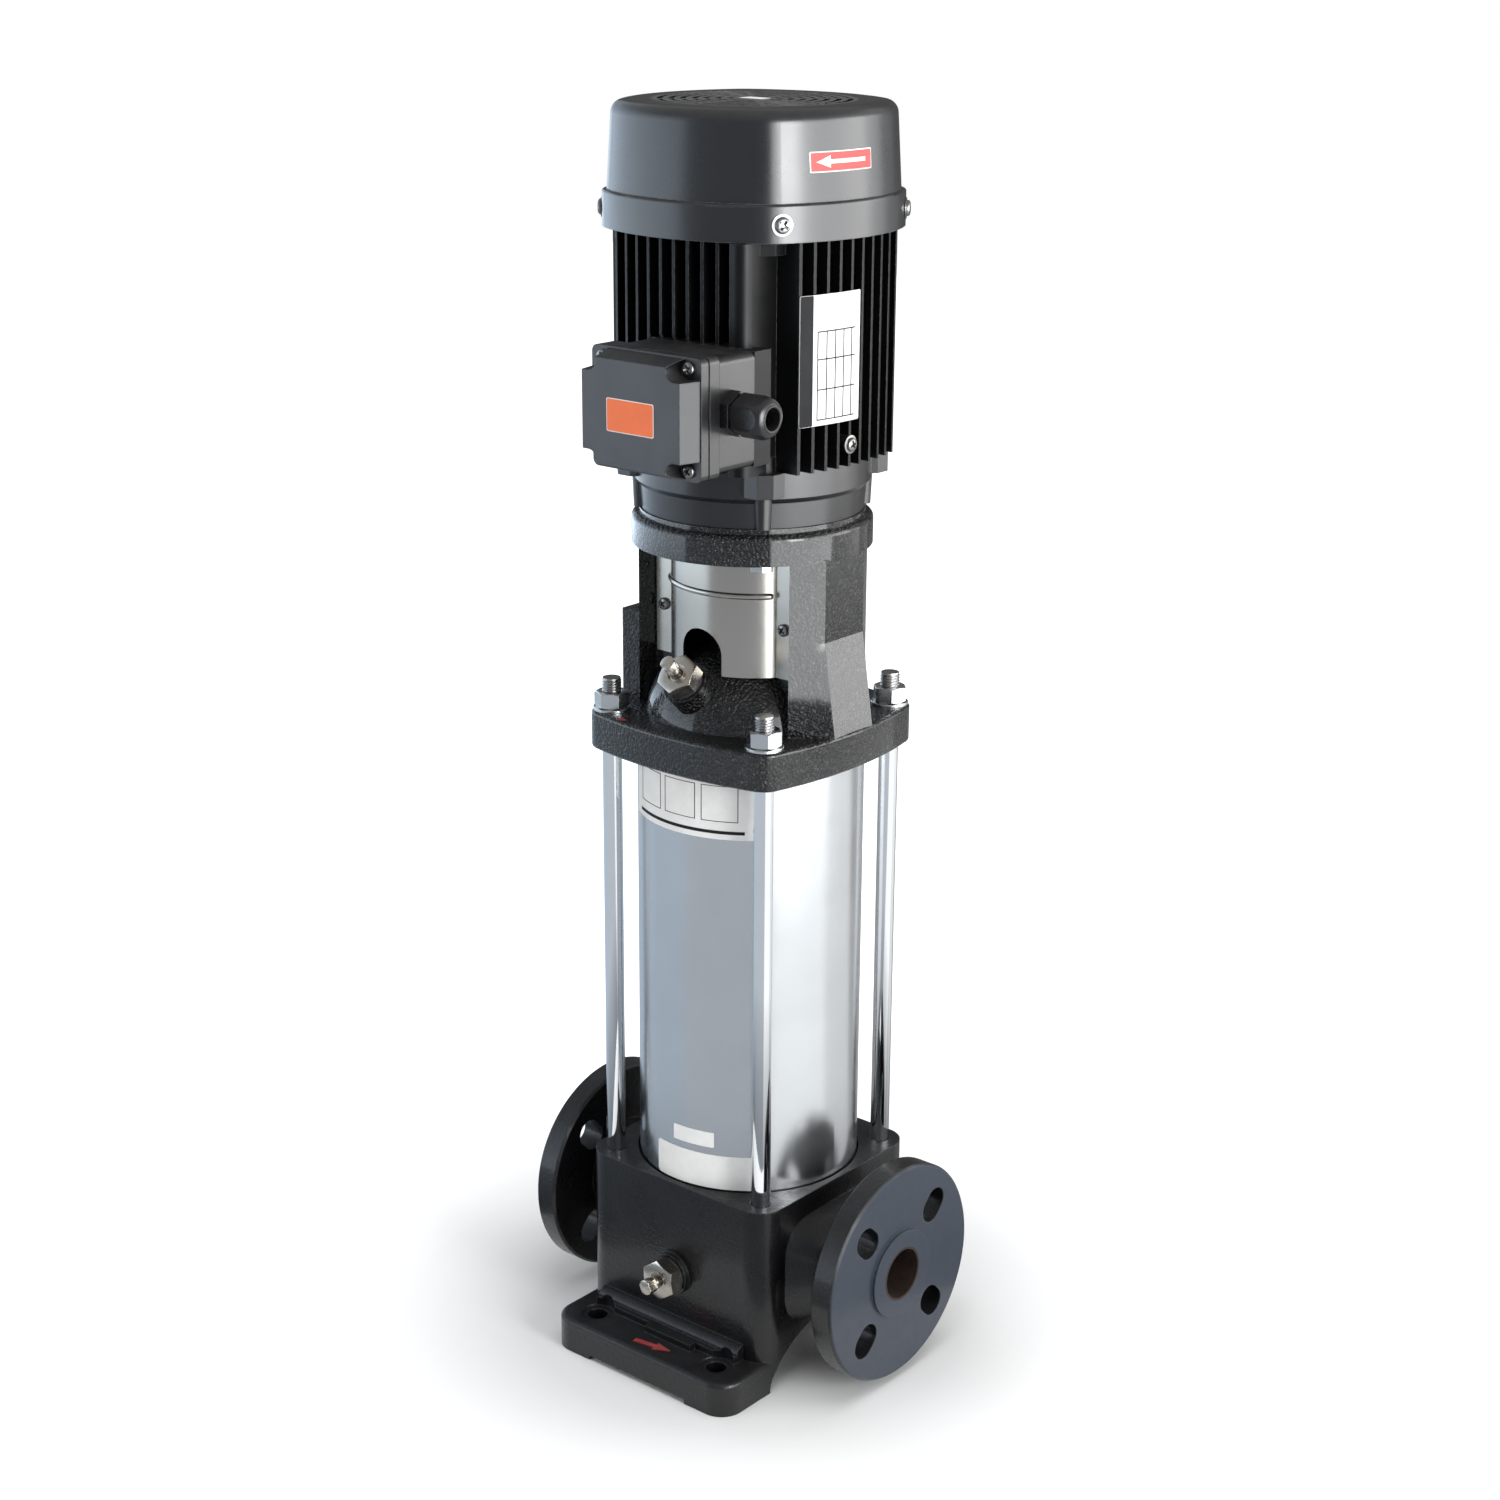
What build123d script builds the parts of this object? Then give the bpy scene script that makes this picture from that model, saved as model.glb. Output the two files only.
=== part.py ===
from build123d import *
import os
from math import cos, radians, sin, sqrt, tan

# Vertical multistage pump with its motor, in millimetres.
# The origin is the middle of the footprint on the floor. +Z runs up the shaft,
# +X points out of the discharge port and -Y is the front with both plugs.

os.makedirs("parts", exist_ok=True)

# Clearances
fit = 0.1               # beside a piece that stays put in its hole
running = 0.05          # round a shaft or spindle that turns in its bore
apart = 0.3             # between surfaces that pass each other

# Ports
port_reach = 125.0      # from the shaft to a port face
port_height = 75.0
port_r = 16.0
port_depth = 52.0       # machined length of the port bore
passage_r = 14.5        # cast passage behind the port bore
flange_r = 70.0
flange_thickness = 16.0
flange_edge = 1.5
raised_face_r = 28.5
raised_face_height = 2.0
slot_r = 9.0
slot_travel = 5.0       # between the two arc centres of a bolt slot
slot_circle_r = 47.5
hub_r = 32.0
hub_root_width = 108.0
hub_root_height = 72.0
hub_root_corner_r = 22.0

# Base casting
foot_half_x = 73.0
foot_half_y = 109.0
foot_height = 22.0
foot_corner_r = 15.0
foot_edge_r = 3.0
pad_length = 33.0
pad_relief = 3.0
foot_hole_r = 6.5
foot_hole_x = 50.0
foot_hole_y = 90.0
spot_face_rim = 4.5
spot_face_depth = 1.0
ledge_reach = 9.5
ledge_step = 5.0        # how much further the middle of the ledge reaches
ledge_step_half = 19.0
ledge_step_x = 8.0
ledge_height = 4.5
ledge_fillet_r = 6.0
arch_half = 65.0
arch_height = 38.0
body_half = 74.0
body_corner_r = 16.0
base_height = 125.0
bowl_floor = 50.0
bowl_r = 36.0
ring_wall = 10.0        # wall between the suction bowl and the discharge channel
channel_width = 16.0
stack_seat_depth = 15.0
suction_pipe_wall = 6.5

# Outer sleeve
sleeve_r = 69.5
sleeve_wall = 2.0
sleeve_seat_depth = 11.0
sleeve_socket_depth = 5.0
sleeve_margin = 1.2     # free ring round the sleeve in its recess
spigot_height = 7.0
o_ring_r = 1.5
o_ring_grip = 0.4       # how far the groove is shallower than the ring is thick

# Hydraulic stages
stage_count = 8
stage_pitch = 27.0
chamber_r = 52.0
chamber_wall = 2.0
inlet_ring_height = 12.0
discharge_height = 66.0
discharge_cup_height = 46.0
discharge_lug_width = 14.0
eye_r = 20.0
neck_wall = 2.2
impeller_r = 44.0
impeller_base = 4.5     # underside of the front shroud above the chamber floor
shroud = 1.5
vane_gap = 7.0
vane_thickness = 1.6
impeller_vanes = 6
vane_sweep = 55.0
hub_wall = 3.0
guide_vanes = 6
guide_rim = 5.0         # water way round the guide disc
guide_thickness = 2.0

# Shafts, seal and coupling
shaft_r = 8.0
shaft_shoulder = 1.0
nut_height = 8.0
nut_wall = 3.5
seal_ring_height = 13.0
seal_ring_wall = 4.5
seal_seat_r = 17.0
seal_seat_height = 14.0
seal_flange_rim = 5.0
seal_flange_height = 2.5
seal_gap = 0.4          # between the standing seat and the turning shaft
motor_shaft_r = 12.0
motor_shaft_reach = 50.0
bearing_step = 0.5
shaft_end_gap = 2.0
coupling_r = 28.0
coupling_top_gap = 4.0
coupling_grip = 17.0    # length of the coupling on the pump shaft
coupling_split = 2.0
coupling_screw_r = 3.0
coupling_screw_x = 19.5
coupling_head_r = 5.0
coupling_head = 5.0
coupling_seat_y = 14.0  # of the screw heads
coupling_screw_length = 26.0
coupling_screw_inset = 14.0

# Stay bolts
stay_r = 6.0
stay_offset = 60.0
stay_grip = 28.0
stay_above_nut = 8.5
washer_rim = 5.5
washer_thickness = 1.8
stay_nut_flats = 18.5
stay_nut_height = 9.6

# Motor stool, which is the pump head too
stool_mid = 80.0        # half width at the middle of a flange side
stool_side_r = 260.0
stool_corner_r = 14.0
stool_flange = 23.5
stool_edge_r = 2.0
stool_height = 149.0
head_cavity_r = 54.0
head_ledge = 9.0        # depth of the ledge that the discharge chamber bears on
head_ledge_r = 48.0
dome_r = 64.0
dome_shoulder_r = 52.0
dome_shoulder_height = 26.0
dome_height = 41.5
seal_boss_height = 10.0
seal_boss_r = 27.0
dome_wall = 8.0
buttress_r = 13.0
vent_reach = 61.5
vent_rise = 28.5        # of the vent seat above the stool flange
boss_r = 14.0
boss_depth = 16.0
ring_height = 21.0
ring_r = 72.0
ring_shoulder = 3.5
ridge_rim = 1.0         # how far the seat ridge reaches past the motor
ridge_height = 3.0
spigot_r = 47.5
pillar_inner = 42.0
pillar_tab_half = 25.5  # half width of the inner rib that carries the guards
pillar_tab_x = 54.0
pillar_front_x = 58.5
pillar_front_y = 36.6
pillar_face_x = 70.5
pillar_face_half = 18.0
pillar_flare = 8.5
pillar_flare_height = 56.0
pillar_pocket_half = 15.0
pillar_wall = 8.5
pillar_edge_r = 2.5
block_reach = 76.0
block_front = 34.0
block_width = 24.0
block_depth = 18.0

# Plugs at the drain and the vent
drain_height = 62.0
drain_boss_height = 4.0
plug_thread_r = 8.0
plug_thread = 14.0
plug_flats = 23.0
plug_hex = 9.0
plug_washer_rim = 4.0
plug_washer = 1.5
spindle_r = 3.5
spindle_neck = 4.5
spindle_head = 7.0
spindle_head_r = 5.0
spindle_flats = 8.0
spindle_depth = 18.0
drip_r = 4.0

# Coupling guards
guard_reach = 48.0      # from the shaft to the outside of the sheet
guard_sheet = 1.0
guard_half_x = 41.0
guard_edge_x = 53.0
guard_bottom = 31.5     # above the stool flange
guard_height = 69.5
guard_arch_half = 15.0
guard_arch_top = 58.5   # above the stool flange
bead_r = 1.9
bead_height = 49.5      # above the guard's lower edge
bead_angle = 50.0
guard_screw_x = 46.5
guard_screw_height = 30.0
guard_screw_r = 2.0
screw_head_r = 3.8      # pan heads of the guard and lid screws
screw_head = 2.4
guard_screw_length = 9.0

# Motor
motor_bolt_r = 4.0
motor_bolt_circle_r = 57.5
motor_bolt_flats = 13.0
motor_bolt_head = 5.3
motor_bolt_grip = 8.0
shield_height = 34.0
shield_r = 66.5
shield_rim_r = 70.0
shield_rim = 16.0
shield_cone = 3.0
shield_floor = 9.0
shield_wall = 4.0
spigot_depth = 4.0
bearing_r = 26.0
bearing_width = 15.0
bearing_housing_wall = 5.0
corner_reach = 68.5     # from the shaft to a tie bolt
lug_half = 11.5         # half width of an eight-sided lug
lug_height = 14.0
lug_rib_r = 5.5
lug_rib_draft = 2.5     # degrees
lug_rib_reach = 66.0
frame_length = 131.5
frame_bore_r = 60.0
frame_wall = 5.0
fin_pitch = 9.7
fin_count = 10
fin_thickness = 1.9
fin_mid = 76.0
fin_side_r = 160.0
fin_corner_r = 6.0
column_r = 4.6
corner_boss_r = 6.8     # of the round boss over each lower lug
corner_boss_height = 9.0
side_pad_width = 10.5
side_pad_x = 48.5
side_pad_y = 73.0
side_pad_depth = 25.0
side_pad_round = 7.0
stator_wall = 23.7
stator_length = 80.0
stator_drop = 22.0      # of the stack above the frame's lower end
air_gap = 0.3
winding_length = 13.0
winding_wall = 18.0
winding_gap = 1.0
tie_bolt_r = 3.0
tie_bolt_flats = 10.0
tie_bolt_head = 4.0
tie_bolt_grip = 10.0
end_plate = 6.0
end_spigot = 5.0
earth_y = -5.6
earth_height = 13.0     # above the frame's lower end
earth_boss_r = 5.0
earth_boss_reach = 77.0
earth_hole_r = 2.0
earth_hole_depth = 9.0

# Fan and its cover
cover_mid = 82.0
cover_side_r = 110.0
cover_corner_r = 32.0
cover_wall = 2.0
cover_overlap = 1.5
cover_band = 21.0
cover_step = 2.8
cover_band_edge_r = 1.6
cover_height = 71.0
cover_draft = 3.5       # degrees
cover_top_r = 8.0
grille_hub_r = 13.0
grille_rings = 7
grille_pitch = 6.6
grille_slot = 3.4
grille_spokes = 8
grille_spoke = 3.0
cover_screw_turn = 31.5 # degrees about the centre of a corner arc
cover_screw_height = 10.0
cover_screw_r = 2.5
cover_head_r = 4.6
cover_head = 2.8
cover_screw_length = 9.0
cover_lug_width = 12.0
cover_lug_length = 9.0
cover_lug_height = 12.0
cover_lug_gap = 1.0
fan_r = 60.0
fan_shaft_r = 10.0
fan_hub_wall = 6.0
fan_hub_height = 26.0
fan_disc = 2.5
fan_vanes = 8
fan_vane = 2.0
fan_clearance = 12.0

# Terminal box
box_offset = 25.5
box_width = 80.0
box_height = 68.0
box_rise = 41.0         # of the box centre above the frame's lower end
box_back = 75.0
box_depth = 32.0
box_rim = 8.0
box_rim_step = 2.0
box_wall = 3.0
box_floor = 4.0
box_corner_r = 4.0
gasket = 1.0
lid_flange = 6.0
lid_depth = 13.0
lid_draft = 14.0
lid_wall = 2.5
lid_screw_inset_x = 8.5
lid_screw_inset_z = 6.0
lid_screw_r = 2.0
lid_screw_length = 16.0
lid_post_r = 5.0
lid_pocket_r = 6.0
wire_hole_r = 9.0
terminal_width = 42.0
terminal_height = 22.0
terminal_depth = 10.0
terminal_stud_r = 2.0
terminal_stud = 6.0
terminal_pitch = 13.0
terminal_rise = 12.0
wire_hole_drop = 14.0

# Cable gland
gland_y = 94.0
gland_rise = 1.0
gland_thread_r = 8.0
gland_flats = 22.0
gland_hex = 6.0
gland_barrel_r = 9.5
gland_barrel = 14.0
gland_wall = 1.9
gland_seal_r = 5.0
gland_seal_length = 13.0
gland_nut_start = 2.0
gland_nut_length = 20.5
gland_nut_hex = 13.5
gland_end_r = 7.6
gland_mouth_r = 6.2

# Levels and places that follow from the sizes above
sleeve_bottom = base_height - sleeve_seat_depth
stack_seat = base_height - stack_seat_depth
stack_bottom = stack_seat + inlet_ring_height
stack_top = stack_bottom + stage_count * stage_pitch
head_ledge_z = stack_top + discharge_height
stool_bottom = head_ledge_z - head_ledge
stool_top = stool_bottom + stool_flange
motor_seat = stool_bottom + stool_height
ring_bottom = motor_seat - ring_height
ridge_r = shield_r + ridge_rim
sleeve_top = stool_bottom + sleeve_socket_depth
sleeve_inner_r = sleeve_r - sleeve_wall
spigot_outer_r = sleeve_inner_r - fit
recess_r = sleeve_r + sleeve_margin
ring_outer_r = bowl_r + ring_wall
channel_r = ring_outer_r + channel_width
flange_front = port_reach - raised_face_height
flange_back = flange_front - flange_thickness
spot_face_r = foot_hole_r + spot_face_rim
upper_shaft_r = shaft_r + shaft_shoulder
impeller_hub_r = shaft_r + running + hub_wall
seal_boss_top = stool_top + dome_height + seal_boss_height
seat_bottom = seal_boss_top - seal_seat_height
motor_shaft_bottom = motor_seat - motor_shaft_reach
pump_shaft_top = motor_shaft_bottom - shaft_end_gap
coupling_bottom = pump_shaft_top - coupling_grip
coupling_top = motor_seat - spigot_depth - coupling_top_gap
frame_bottom = motor_seat + shield_height
frame_top = frame_bottom + frame_length
stator_bottom = frame_bottom + stator_drop
stator_top = stator_bottom + stator_length
stator_inner_r = frame_bore_r - fit - stator_wall
rotor_r = stator_inner_r - air_gap
lower_bearing = motor_seat + shield_floor
upper_bearing = frame_top - bearing_width
bearing_shaft_r = motor_shaft_r + bearing_step
plate_top = frame_top + end_plate
fan_bottom = plate_top + fan_clearance
fan_top = fan_bottom + fan_hub_height
cover_bottom = frame_top - cover_overlap
cover_top = cover_bottom + cover_height
corner_xy = corner_reach / sqrt(2)
motor_bolt_xy = motor_bolt_circle_r / sqrt(2)
box_z = frame_bottom + box_rise
box_lip = box_back + box_depth + box_rim
lid_back = box_lip + gasket
lid_front = lid_back + lid_flange + lid_depth
lid_screw_x = box_width / 2 - lid_screw_inset_x
lid_screw_z = box_height / 2 - lid_screw_inset_z
gland_root = box_offset + box_width / 2 - box_rim_step
gland_z = box_z + gland_rise
groove_depth = 2 * o_ring_r - o_ring_grip
pocket_depth = pillar_face_x - pillar_wall - pillar_inner
four_corners = [(x, y) for x in (-1, 1) for y in (-1, 1)]


def polar(radius, angle):
    """Point at a radius and an angle in degrees."""
    return (radius * cos(radians(angle)), radius * sin(radians(angle)))


def corner_centre(mid, side_r, corner_r):
    """Distance along X and Y from the middle of a bulging square to a corner arc's centre."""
    behind = side_r - mid
    return (sqrt(2 * (side_r - corner_r) ** 2 - behind**2) - behind) / 2


def convex_square(mid, side_r, corner_r):
    """Square with bulging sides of radius side_r; mid is its half width."""
    behind = side_r - mid
    reach = side_r - corner_r
    corner = corner_centre(mid, side_r, corner_r)
    along = side_r * (corner + behind) / reach - behind
    across = side_r * corner / reach
    tip = corner + corner_r / sqrt(2)
    with BuildSketch() as outline:
        with BuildLine() as rim:
            ThreePointArc((along, -across), (mid, 0), (along, across))
            ThreePointArc((along, across), (tip, tip), (across, along))
            for quarter in (90, 180, 270):
                for edge in rim.edges()[:2]:
                    add(edge.rotate(Axis.Z, quarter))
        make_face()
    return outline.sketch


def cover_outline(inset):
    """Outline of the fan cover's band, moved inwards by the inset."""
    return convex_square(cover_mid - inset, cover_side_r - inset, cover_corner_r - inset)


def curved_vanes(inner_r, outer_r, sweep, count, thickness):
    """Vanes that lean back by the sweep angle from one radius to the other."""
    middle_r = (inner_r + outer_r) / 2
    with BuildSketch() as vanes:
        for vane in range(count):
            start = 360 * vane / count
            with BuildLine():
                ThreePointArc(
                    polar(inner_r, start),
                    polar(middle_r, start + 0.38 * sweep),
                    polar(outer_r, start + sweep),
                )
            trace(line_width=thickness)
    return vanes.sketch


def pillar_outline(side, flare):
    """Section of one pillar; flare moves its outer face away from the shaft."""
    half = [
        (side * pillar_inner, pillar_tab_half),
        (side * pillar_tab_x, pillar_tab_half),
        (side * pillar_front_x, pillar_front_y),
        (side * (pillar_face_x + flare), pillar_face_half),
    ]
    with BuildSketch() as outline:
        with BuildLine():
            Polyline(*half, *[(x, -y) for x, y in reversed(half)], close=True)
        make_face()
    return outline.sketch


def finish(piece, name):
    """Name a finished piece and write its STEP file."""
    piece.part.label = name
    export_step(piece.part, "parts/" + name + ".step")


port_planes = [
    Plane(origin=(0, 0, port_height), x_dir=(0, side, 0), z_dir=(side, 0, 0))
    for side in (1, -1)
]
discharge_plane, suction_plane = port_planes
drain_seat = Plane(
    origin=(0, -body_half - drain_boss_height, drain_height), x_dir=(1, 0, 0), z_dir=(0, -1, 0)
)
vent_seat = Plane(
    origin=(0, -vent_reach, stool_top + vent_rise), x_dir=(1, 0, 0), z_dir=(0, -1, 1)
)
box_plane = Plane(origin=(box_offset, 0, box_z), x_dir=(1, 0, 0), z_dir=(0, -1, 0))
gland_plane = Plane(origin=(0, -gland_y, gland_z), x_dir=(0, 1, 0), z_dir=(1, 0, 0))

# Base casting: two feet, an arch between them, the bowl and both flanged ports
with BuildPart() as base_casting:
    with BuildSketch():
        RectangleRounded(2 * foot_half_x, 2 * foot_half_y, foot_corner_r)
    extrude(amount=foot_height)
    fillet(base_casting.faces().sort_by(Axis.Z)[-1].edges(), foot_edge_r)
    with BuildSketch():
        RectangleRounded(2 * body_half, 2 * body_half, body_corner_r)
    extrude(amount=base_height)
    # cast step where each foot meets the wall, wider between the bolts
    for centre, half_length, reach in (
        (0, body_half - body_corner_r, ledge_reach),
        (ledge_step_x, ledge_step_half, ledge_reach + ledge_step),
    ):
        for side in (1, -1):
            with BuildSketch(Plane.YZ.offset(centre)):
                with BuildLine():
                    l1 = Line(
                        (side * (body_half - 1), foot_height - 1),
                        (side * (body_half - 1), foot_height + ledge_height + ledge_fillet_r),
                    )
                    l2 = Line(l1 @ 1, (side * body_half, foot_height + ledge_height + ledge_fillet_r))
                    l3 = RadiusArc(
                        l2 @ 1,
                        (side * (body_half + ledge_fillet_r), foot_height + ledge_height),
                        side * ledge_fillet_r,
                    )
                    l4 = Line(l3 @ 1, (side * (body_half + reach), foot_height + ledge_height))
                    l5 = Line(l4 @ 1, (side * (body_half + reach), foot_height - 1))
                    Line(l5 @ 1, l1 @ 0)
                make_face()
            extrude(amount=half_length, both=True)
    # port hubs and flanges
    for port in port_planes:
        with BuildSketch(port.offset(body_half - 2)):
            RectangleRounded(hub_root_width, hub_root_height, hub_root_corner_r)
        with BuildSketch(port.offset(flange_back + 1)):
            Circle(hub_r)
        loft()
        with BuildSketch(port.offset(flange_back)):
            Circle(flange_r)
        extrude(amount=flange_thickness)
        rims = base_casting.edges(Select.LAST).filter_by(GeomType.CIRCLE)
        chamfer(rims.group_by(SortBy.RADIUS)[-1], flange_edge)
        with BuildSketch(port.offset(flange_front)):
            Circle(raised_face_r)
        extrude(amount=raised_face_height)
        with BuildSketch(port.offset(flange_front)):
            with PolarLocations(slot_circle_r, 4, start_angle=45):
                SlotCenterToCenter(slot_travel, 2 * slot_r)
        extrude(amount=-flange_thickness, mode=Mode.SUBTRACT)
    with BuildSketch(drain_seat):
        Circle(boss_r)
    extrude(amount=-2 * drain_boss_height)
    # arch under the ports, from side to side
    with BuildSketch(Plane.YZ):
        Ellipse(arch_half, arch_height)
    extrude(amount=body_half + 1, both=True, mode=Mode.SUBTRACT)
    # relief between the pads
    with BuildSketch():
        Rectangle(2 * (foot_half_x - pad_length), 4 * foot_half_y)
    extrude(amount=pad_relief, mode=Mode.SUBTRACT)
    # bowl, channel and sleeve recess
    with BuildSketch(Plane.XZ):
        with BuildLine():
            Polyline(
                (0, bowl_floor),
                (bowl_r, bowl_floor),
                (bowl_r, stack_seat),
                (ring_outer_r, stack_seat),
                (ring_outer_r, bowl_floor),
                (channel_r, bowl_floor),
                (channel_r, sleeve_bottom + spigot_height),
                (spigot_outer_r, sleeve_bottom + spigot_height),
                (spigot_outer_r, sleeve_bottom),
                (recess_r, sleeve_bottom),
                (recess_r, base_height + 1),
                (0, base_height + 1),
                close=True,
            )
        make_face()
        with Locations((spigot_outer_r, sleeve_bottom + spigot_height / 2)):
            Rectangle(2 * groove_depth, 2 * o_ring_r + 2 * fit)
    revolve(axis=Axis.Z, mode=Mode.SUBTRACT)
    # suction pipe across the discharge channel
    with BuildSketch(suction_plane.offset(bowl_r + ring_wall / 2)):
        Circle(passage_r + suction_pipe_wall)
    extrude(amount=channel_width + ring_wall)
    with BuildSketch(suction_plane.offset(bowl_r / 2)):
        Circle(passage_r)
    extrude(amount=port_reach - bowl_r / 2, mode=Mode.SUBTRACT)
    with BuildSketch(discharge_plane.offset(ring_outer_r + channel_width / 2)):
        Circle(passage_r)
    extrude(amount=port_reach, mode=Mode.SUBTRACT)
    for port in port_planes:
        with BuildSketch(port.offset(port_reach - port_depth)):
            Circle(port_r)
        extrude(amount=port_depth, mode=Mode.SUBTRACT)
    # bolt holes and plug hole
    with Locations((0, 0, foot_height)):
        with GridLocations(2 * foot_hole_x, 2 * foot_hole_y, 2, 2):
            CounterBoreHole(foot_hole_r, spot_face_r, spot_face_depth)
    with Locations((0, 0, base_height)):
        with GridLocations(2 * stay_offset, 2 * stay_offset, 2, 2):
            Hole(stay_r + fit, depth=stay_grip)
    with BuildSketch(drain_seat):
        Circle(plug_thread_r + fit)
    extrude(amount=-(body_half + drain_boss_height - channel_r + channel_width / 2), mode=Mode.SUBTRACT)
finish(base_casting, "base_casting")

# Outer sleeve
with BuildPart() as outer_sleeve:
    with BuildSketch(Plane.XY.offset(sleeve_bottom)):
        Circle(sleeve_r)
        Circle(sleeve_inner_r, mode=Mode.SUBTRACT)
    extrude(amount=sleeve_top - sleeve_bottom)
finish(outer_sleeve, "outer_sleeve")

# Rings that seal the sleeve on its two spigots
o_ring_width = sleeve_inner_r - spigot_outer_r + groove_depth - fit
o_ring_centre_r = sleeve_inner_r - (o_ring_width + fit) / 2
with BuildPart() as sleeve_o_rings:
    with BuildSketch(Plane.XZ):
        with Locations(
            (o_ring_centre_r, sleeve_bottom + spigot_height / 2),
            (o_ring_centre_r, stool_bottom - spigot_height / 2),
        ):
            Rectangle(o_ring_width, 2 * o_ring_r)
    revolve(axis=Axis.Z)
finish(sleeve_o_rings, "sleeve_o_rings")

# Stay bolts with their nuts and washers
nut_seat = stool_top + washer_thickness
with BuildPart() as stay_bolts:
    with BuildSketch(Plane.XY.offset(base_height - stay_grip)):
        with GridLocations(2 * stay_offset, 2 * stay_offset, 2, 2):
            Circle(stay_r)
    extrude(amount=nut_seat + stay_nut_height + stay_above_nut - base_height + stay_grip)
    chamfer(stay_bolts.edges().group_by(Axis.Z)[-1], 1)
finish(stay_bolts, "stay_bolts")

with BuildPart() as stay_bolt_nuts:
    with BuildSketch(Plane.XY.offset(nut_seat)):
        with GridLocations(2 * stay_offset, 2 * stay_offset, 2, 2):
            RegularPolygon(stay_nut_flats / 2, 6, major_radius=False, rotation=15)
            Circle(stay_r + fit, mode=Mode.SUBTRACT)
    extrude(amount=stay_nut_height)
finish(stay_bolt_nuts, "stay_bolt_nuts")

with BuildPart() as stay_bolt_washers:
    with BuildSketch(Plane.XY.offset(stool_top)):
        with GridLocations(2 * stay_offset, 2 * stay_offset, 2, 2):
            Circle(stay_r + washer_rim)
            Circle(stay_r + fit, mode=Mode.SUBTRACT)
    extrude(amount=washer_thickness)
finish(stay_bolt_washers, "stay_bolt_washers")

# Inlet ring on the rim of the suction bowl
eye_hole_r = eye_r + neck_wall + apart
with BuildPart() as inlet_ring:
    with BuildSketch(Plane.XY.offset(stack_seat)):
        Circle(chamber_r)
    extrude(amount=inlet_ring_height)
    with BuildSketch(Plane.XY.offset(stack_seat)):
        Circle(bowl_r - fit)
    extrude(amount=-inlet_ring_height / 2)
    with BuildSketch(Plane.XY.offset(stack_bottom)):
        Circle(eye_hole_r)
    extrude(amount=-2 * inlet_ring_height, mode=Mode.SUBTRACT)
finish(inlet_ring, "inlet_ring")

# Stage chambers: floor with the eye hole, wall, guide disc and return vanes
guide_bottom = impeller_base + 2 * shroud + vane_gap + apart + chamber_wall / 2
guide_top = guide_bottom + guide_thickness
chamber_inner_r = chamber_r - chamber_wall
for stage in range(stage_count):
    floor = stack_bottom + stage * stage_pitch
    with BuildPart() as chamber:
        with BuildSketch(Plane.XZ):
            with BuildLine():
                Polyline(
                    (eye_hole_r, floor),
                    (chamber_r, floor),
                    (chamber_r, floor + stage_pitch),
                    (chamber_inner_r, floor + stage_pitch),
                    (chamber_inner_r, floor + chamber_wall),
                    (eye_hole_r, floor + chamber_wall),
                    close=True,
                )
            make_face()
        revolve(axis=Axis.Z)
        with BuildSketch(Plane.XY.offset(floor + guide_bottom)):
            Circle(chamber_inner_r - guide_rim)
            Circle(impeller_hub_r + apart, mode=Mode.SUBTRACT)
        extrude(amount=guide_thickness)
        with BuildSketch(Plane.XY.offset(floor + guide_top)):
            add(curved_vanes(eye_hole_r, chamber_inner_r + 1, -vane_sweep, guide_vanes, vane_thickness))
        extrude(amount=stage_pitch - guide_top)
    finish(chamber, "chamber_" + str(stage + 1))

# Discharge chamber: last floor, wall with windows and four lugs up to the head
with BuildPart() as discharge_chamber:
    with BuildSketch(Plane.XY.offset(stack_top)):
        Circle(chamber_r)
        Circle(upper_shaft_r + 4 * apart, mode=Mode.SUBTRACT)
    extrude(amount=chamber_wall)
    with BuildSketch(Plane.XY.offset(stack_top)):
        Circle(chamber_r)
        Circle(chamber_inner_r, mode=Mode.SUBTRACT)
    extrude(amount=discharge_cup_height)
    with BuildSketch(Plane.XY.offset(stack_top + discharge_cup_height)):
        with PolarLocations((chamber_r + chamber_inner_r) / 2, 4):
            Rectangle(chamber_wall, discharge_lug_width)
    extrude(amount=discharge_height - discharge_cup_height)
    with BuildSketch(Plane.XY.offset(stack_top + chamber_wall)):
        with PolarLocations(chamber_inner_r, 6):
            Rectangle(4 * chamber_wall, discharge_lug_width)
    extrude(amount=discharge_lug_width / 2, mode=Mode.SUBTRACT)
finish(discharge_chamber, "discharge_chamber")

# Impellers: hub, two shrouds with vanes between them and the neck at the eye
for stage in range(stage_count):
    floor = stack_bottom + stage * stage_pitch
    front_shroud = floor + impeller_base
    back_shroud = front_shroud + shroud + vane_gap
    with BuildPart() as impeller:
        with BuildSketch(Plane.XY.offset(front_shroud)):
            Circle(impeller_r)
            Circle(eye_r, mode=Mode.SUBTRACT)
        extrude(amount=shroud)
        with BuildSketch(Plane.XY.offset(floor)):
            Circle(eye_r + neck_wall)
            Circle(eye_r, mode=Mode.SUBTRACT)
        extrude(amount=impeller_base + shroud)
        with BuildSketch(Plane.XY.offset(back_shroud)):
            Circle(impeller_r)
        extrude(amount=shroud)
        with BuildSketch(Plane.XY.offset(floor)):
            Circle(impeller_hub_r)
        extrude(amount=stage_pitch)
        with BuildSketch(Plane.XY.offset(front_shroud + shroud / 2)):
            add(curved_vanes(eye_r + 1, impeller_r - 1, vane_sweep, impeller_vanes, vane_thickness))
        extrude(amount=vane_gap + shroud)
        with BuildSketch(Plane.XY.offset(floor)):
            Circle(shaft_r + running)
        extrude(amount=stage_pitch, mode=Mode.SUBTRACT)
    finish(impeller, "impeller_" + str(stage + 1))

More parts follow.
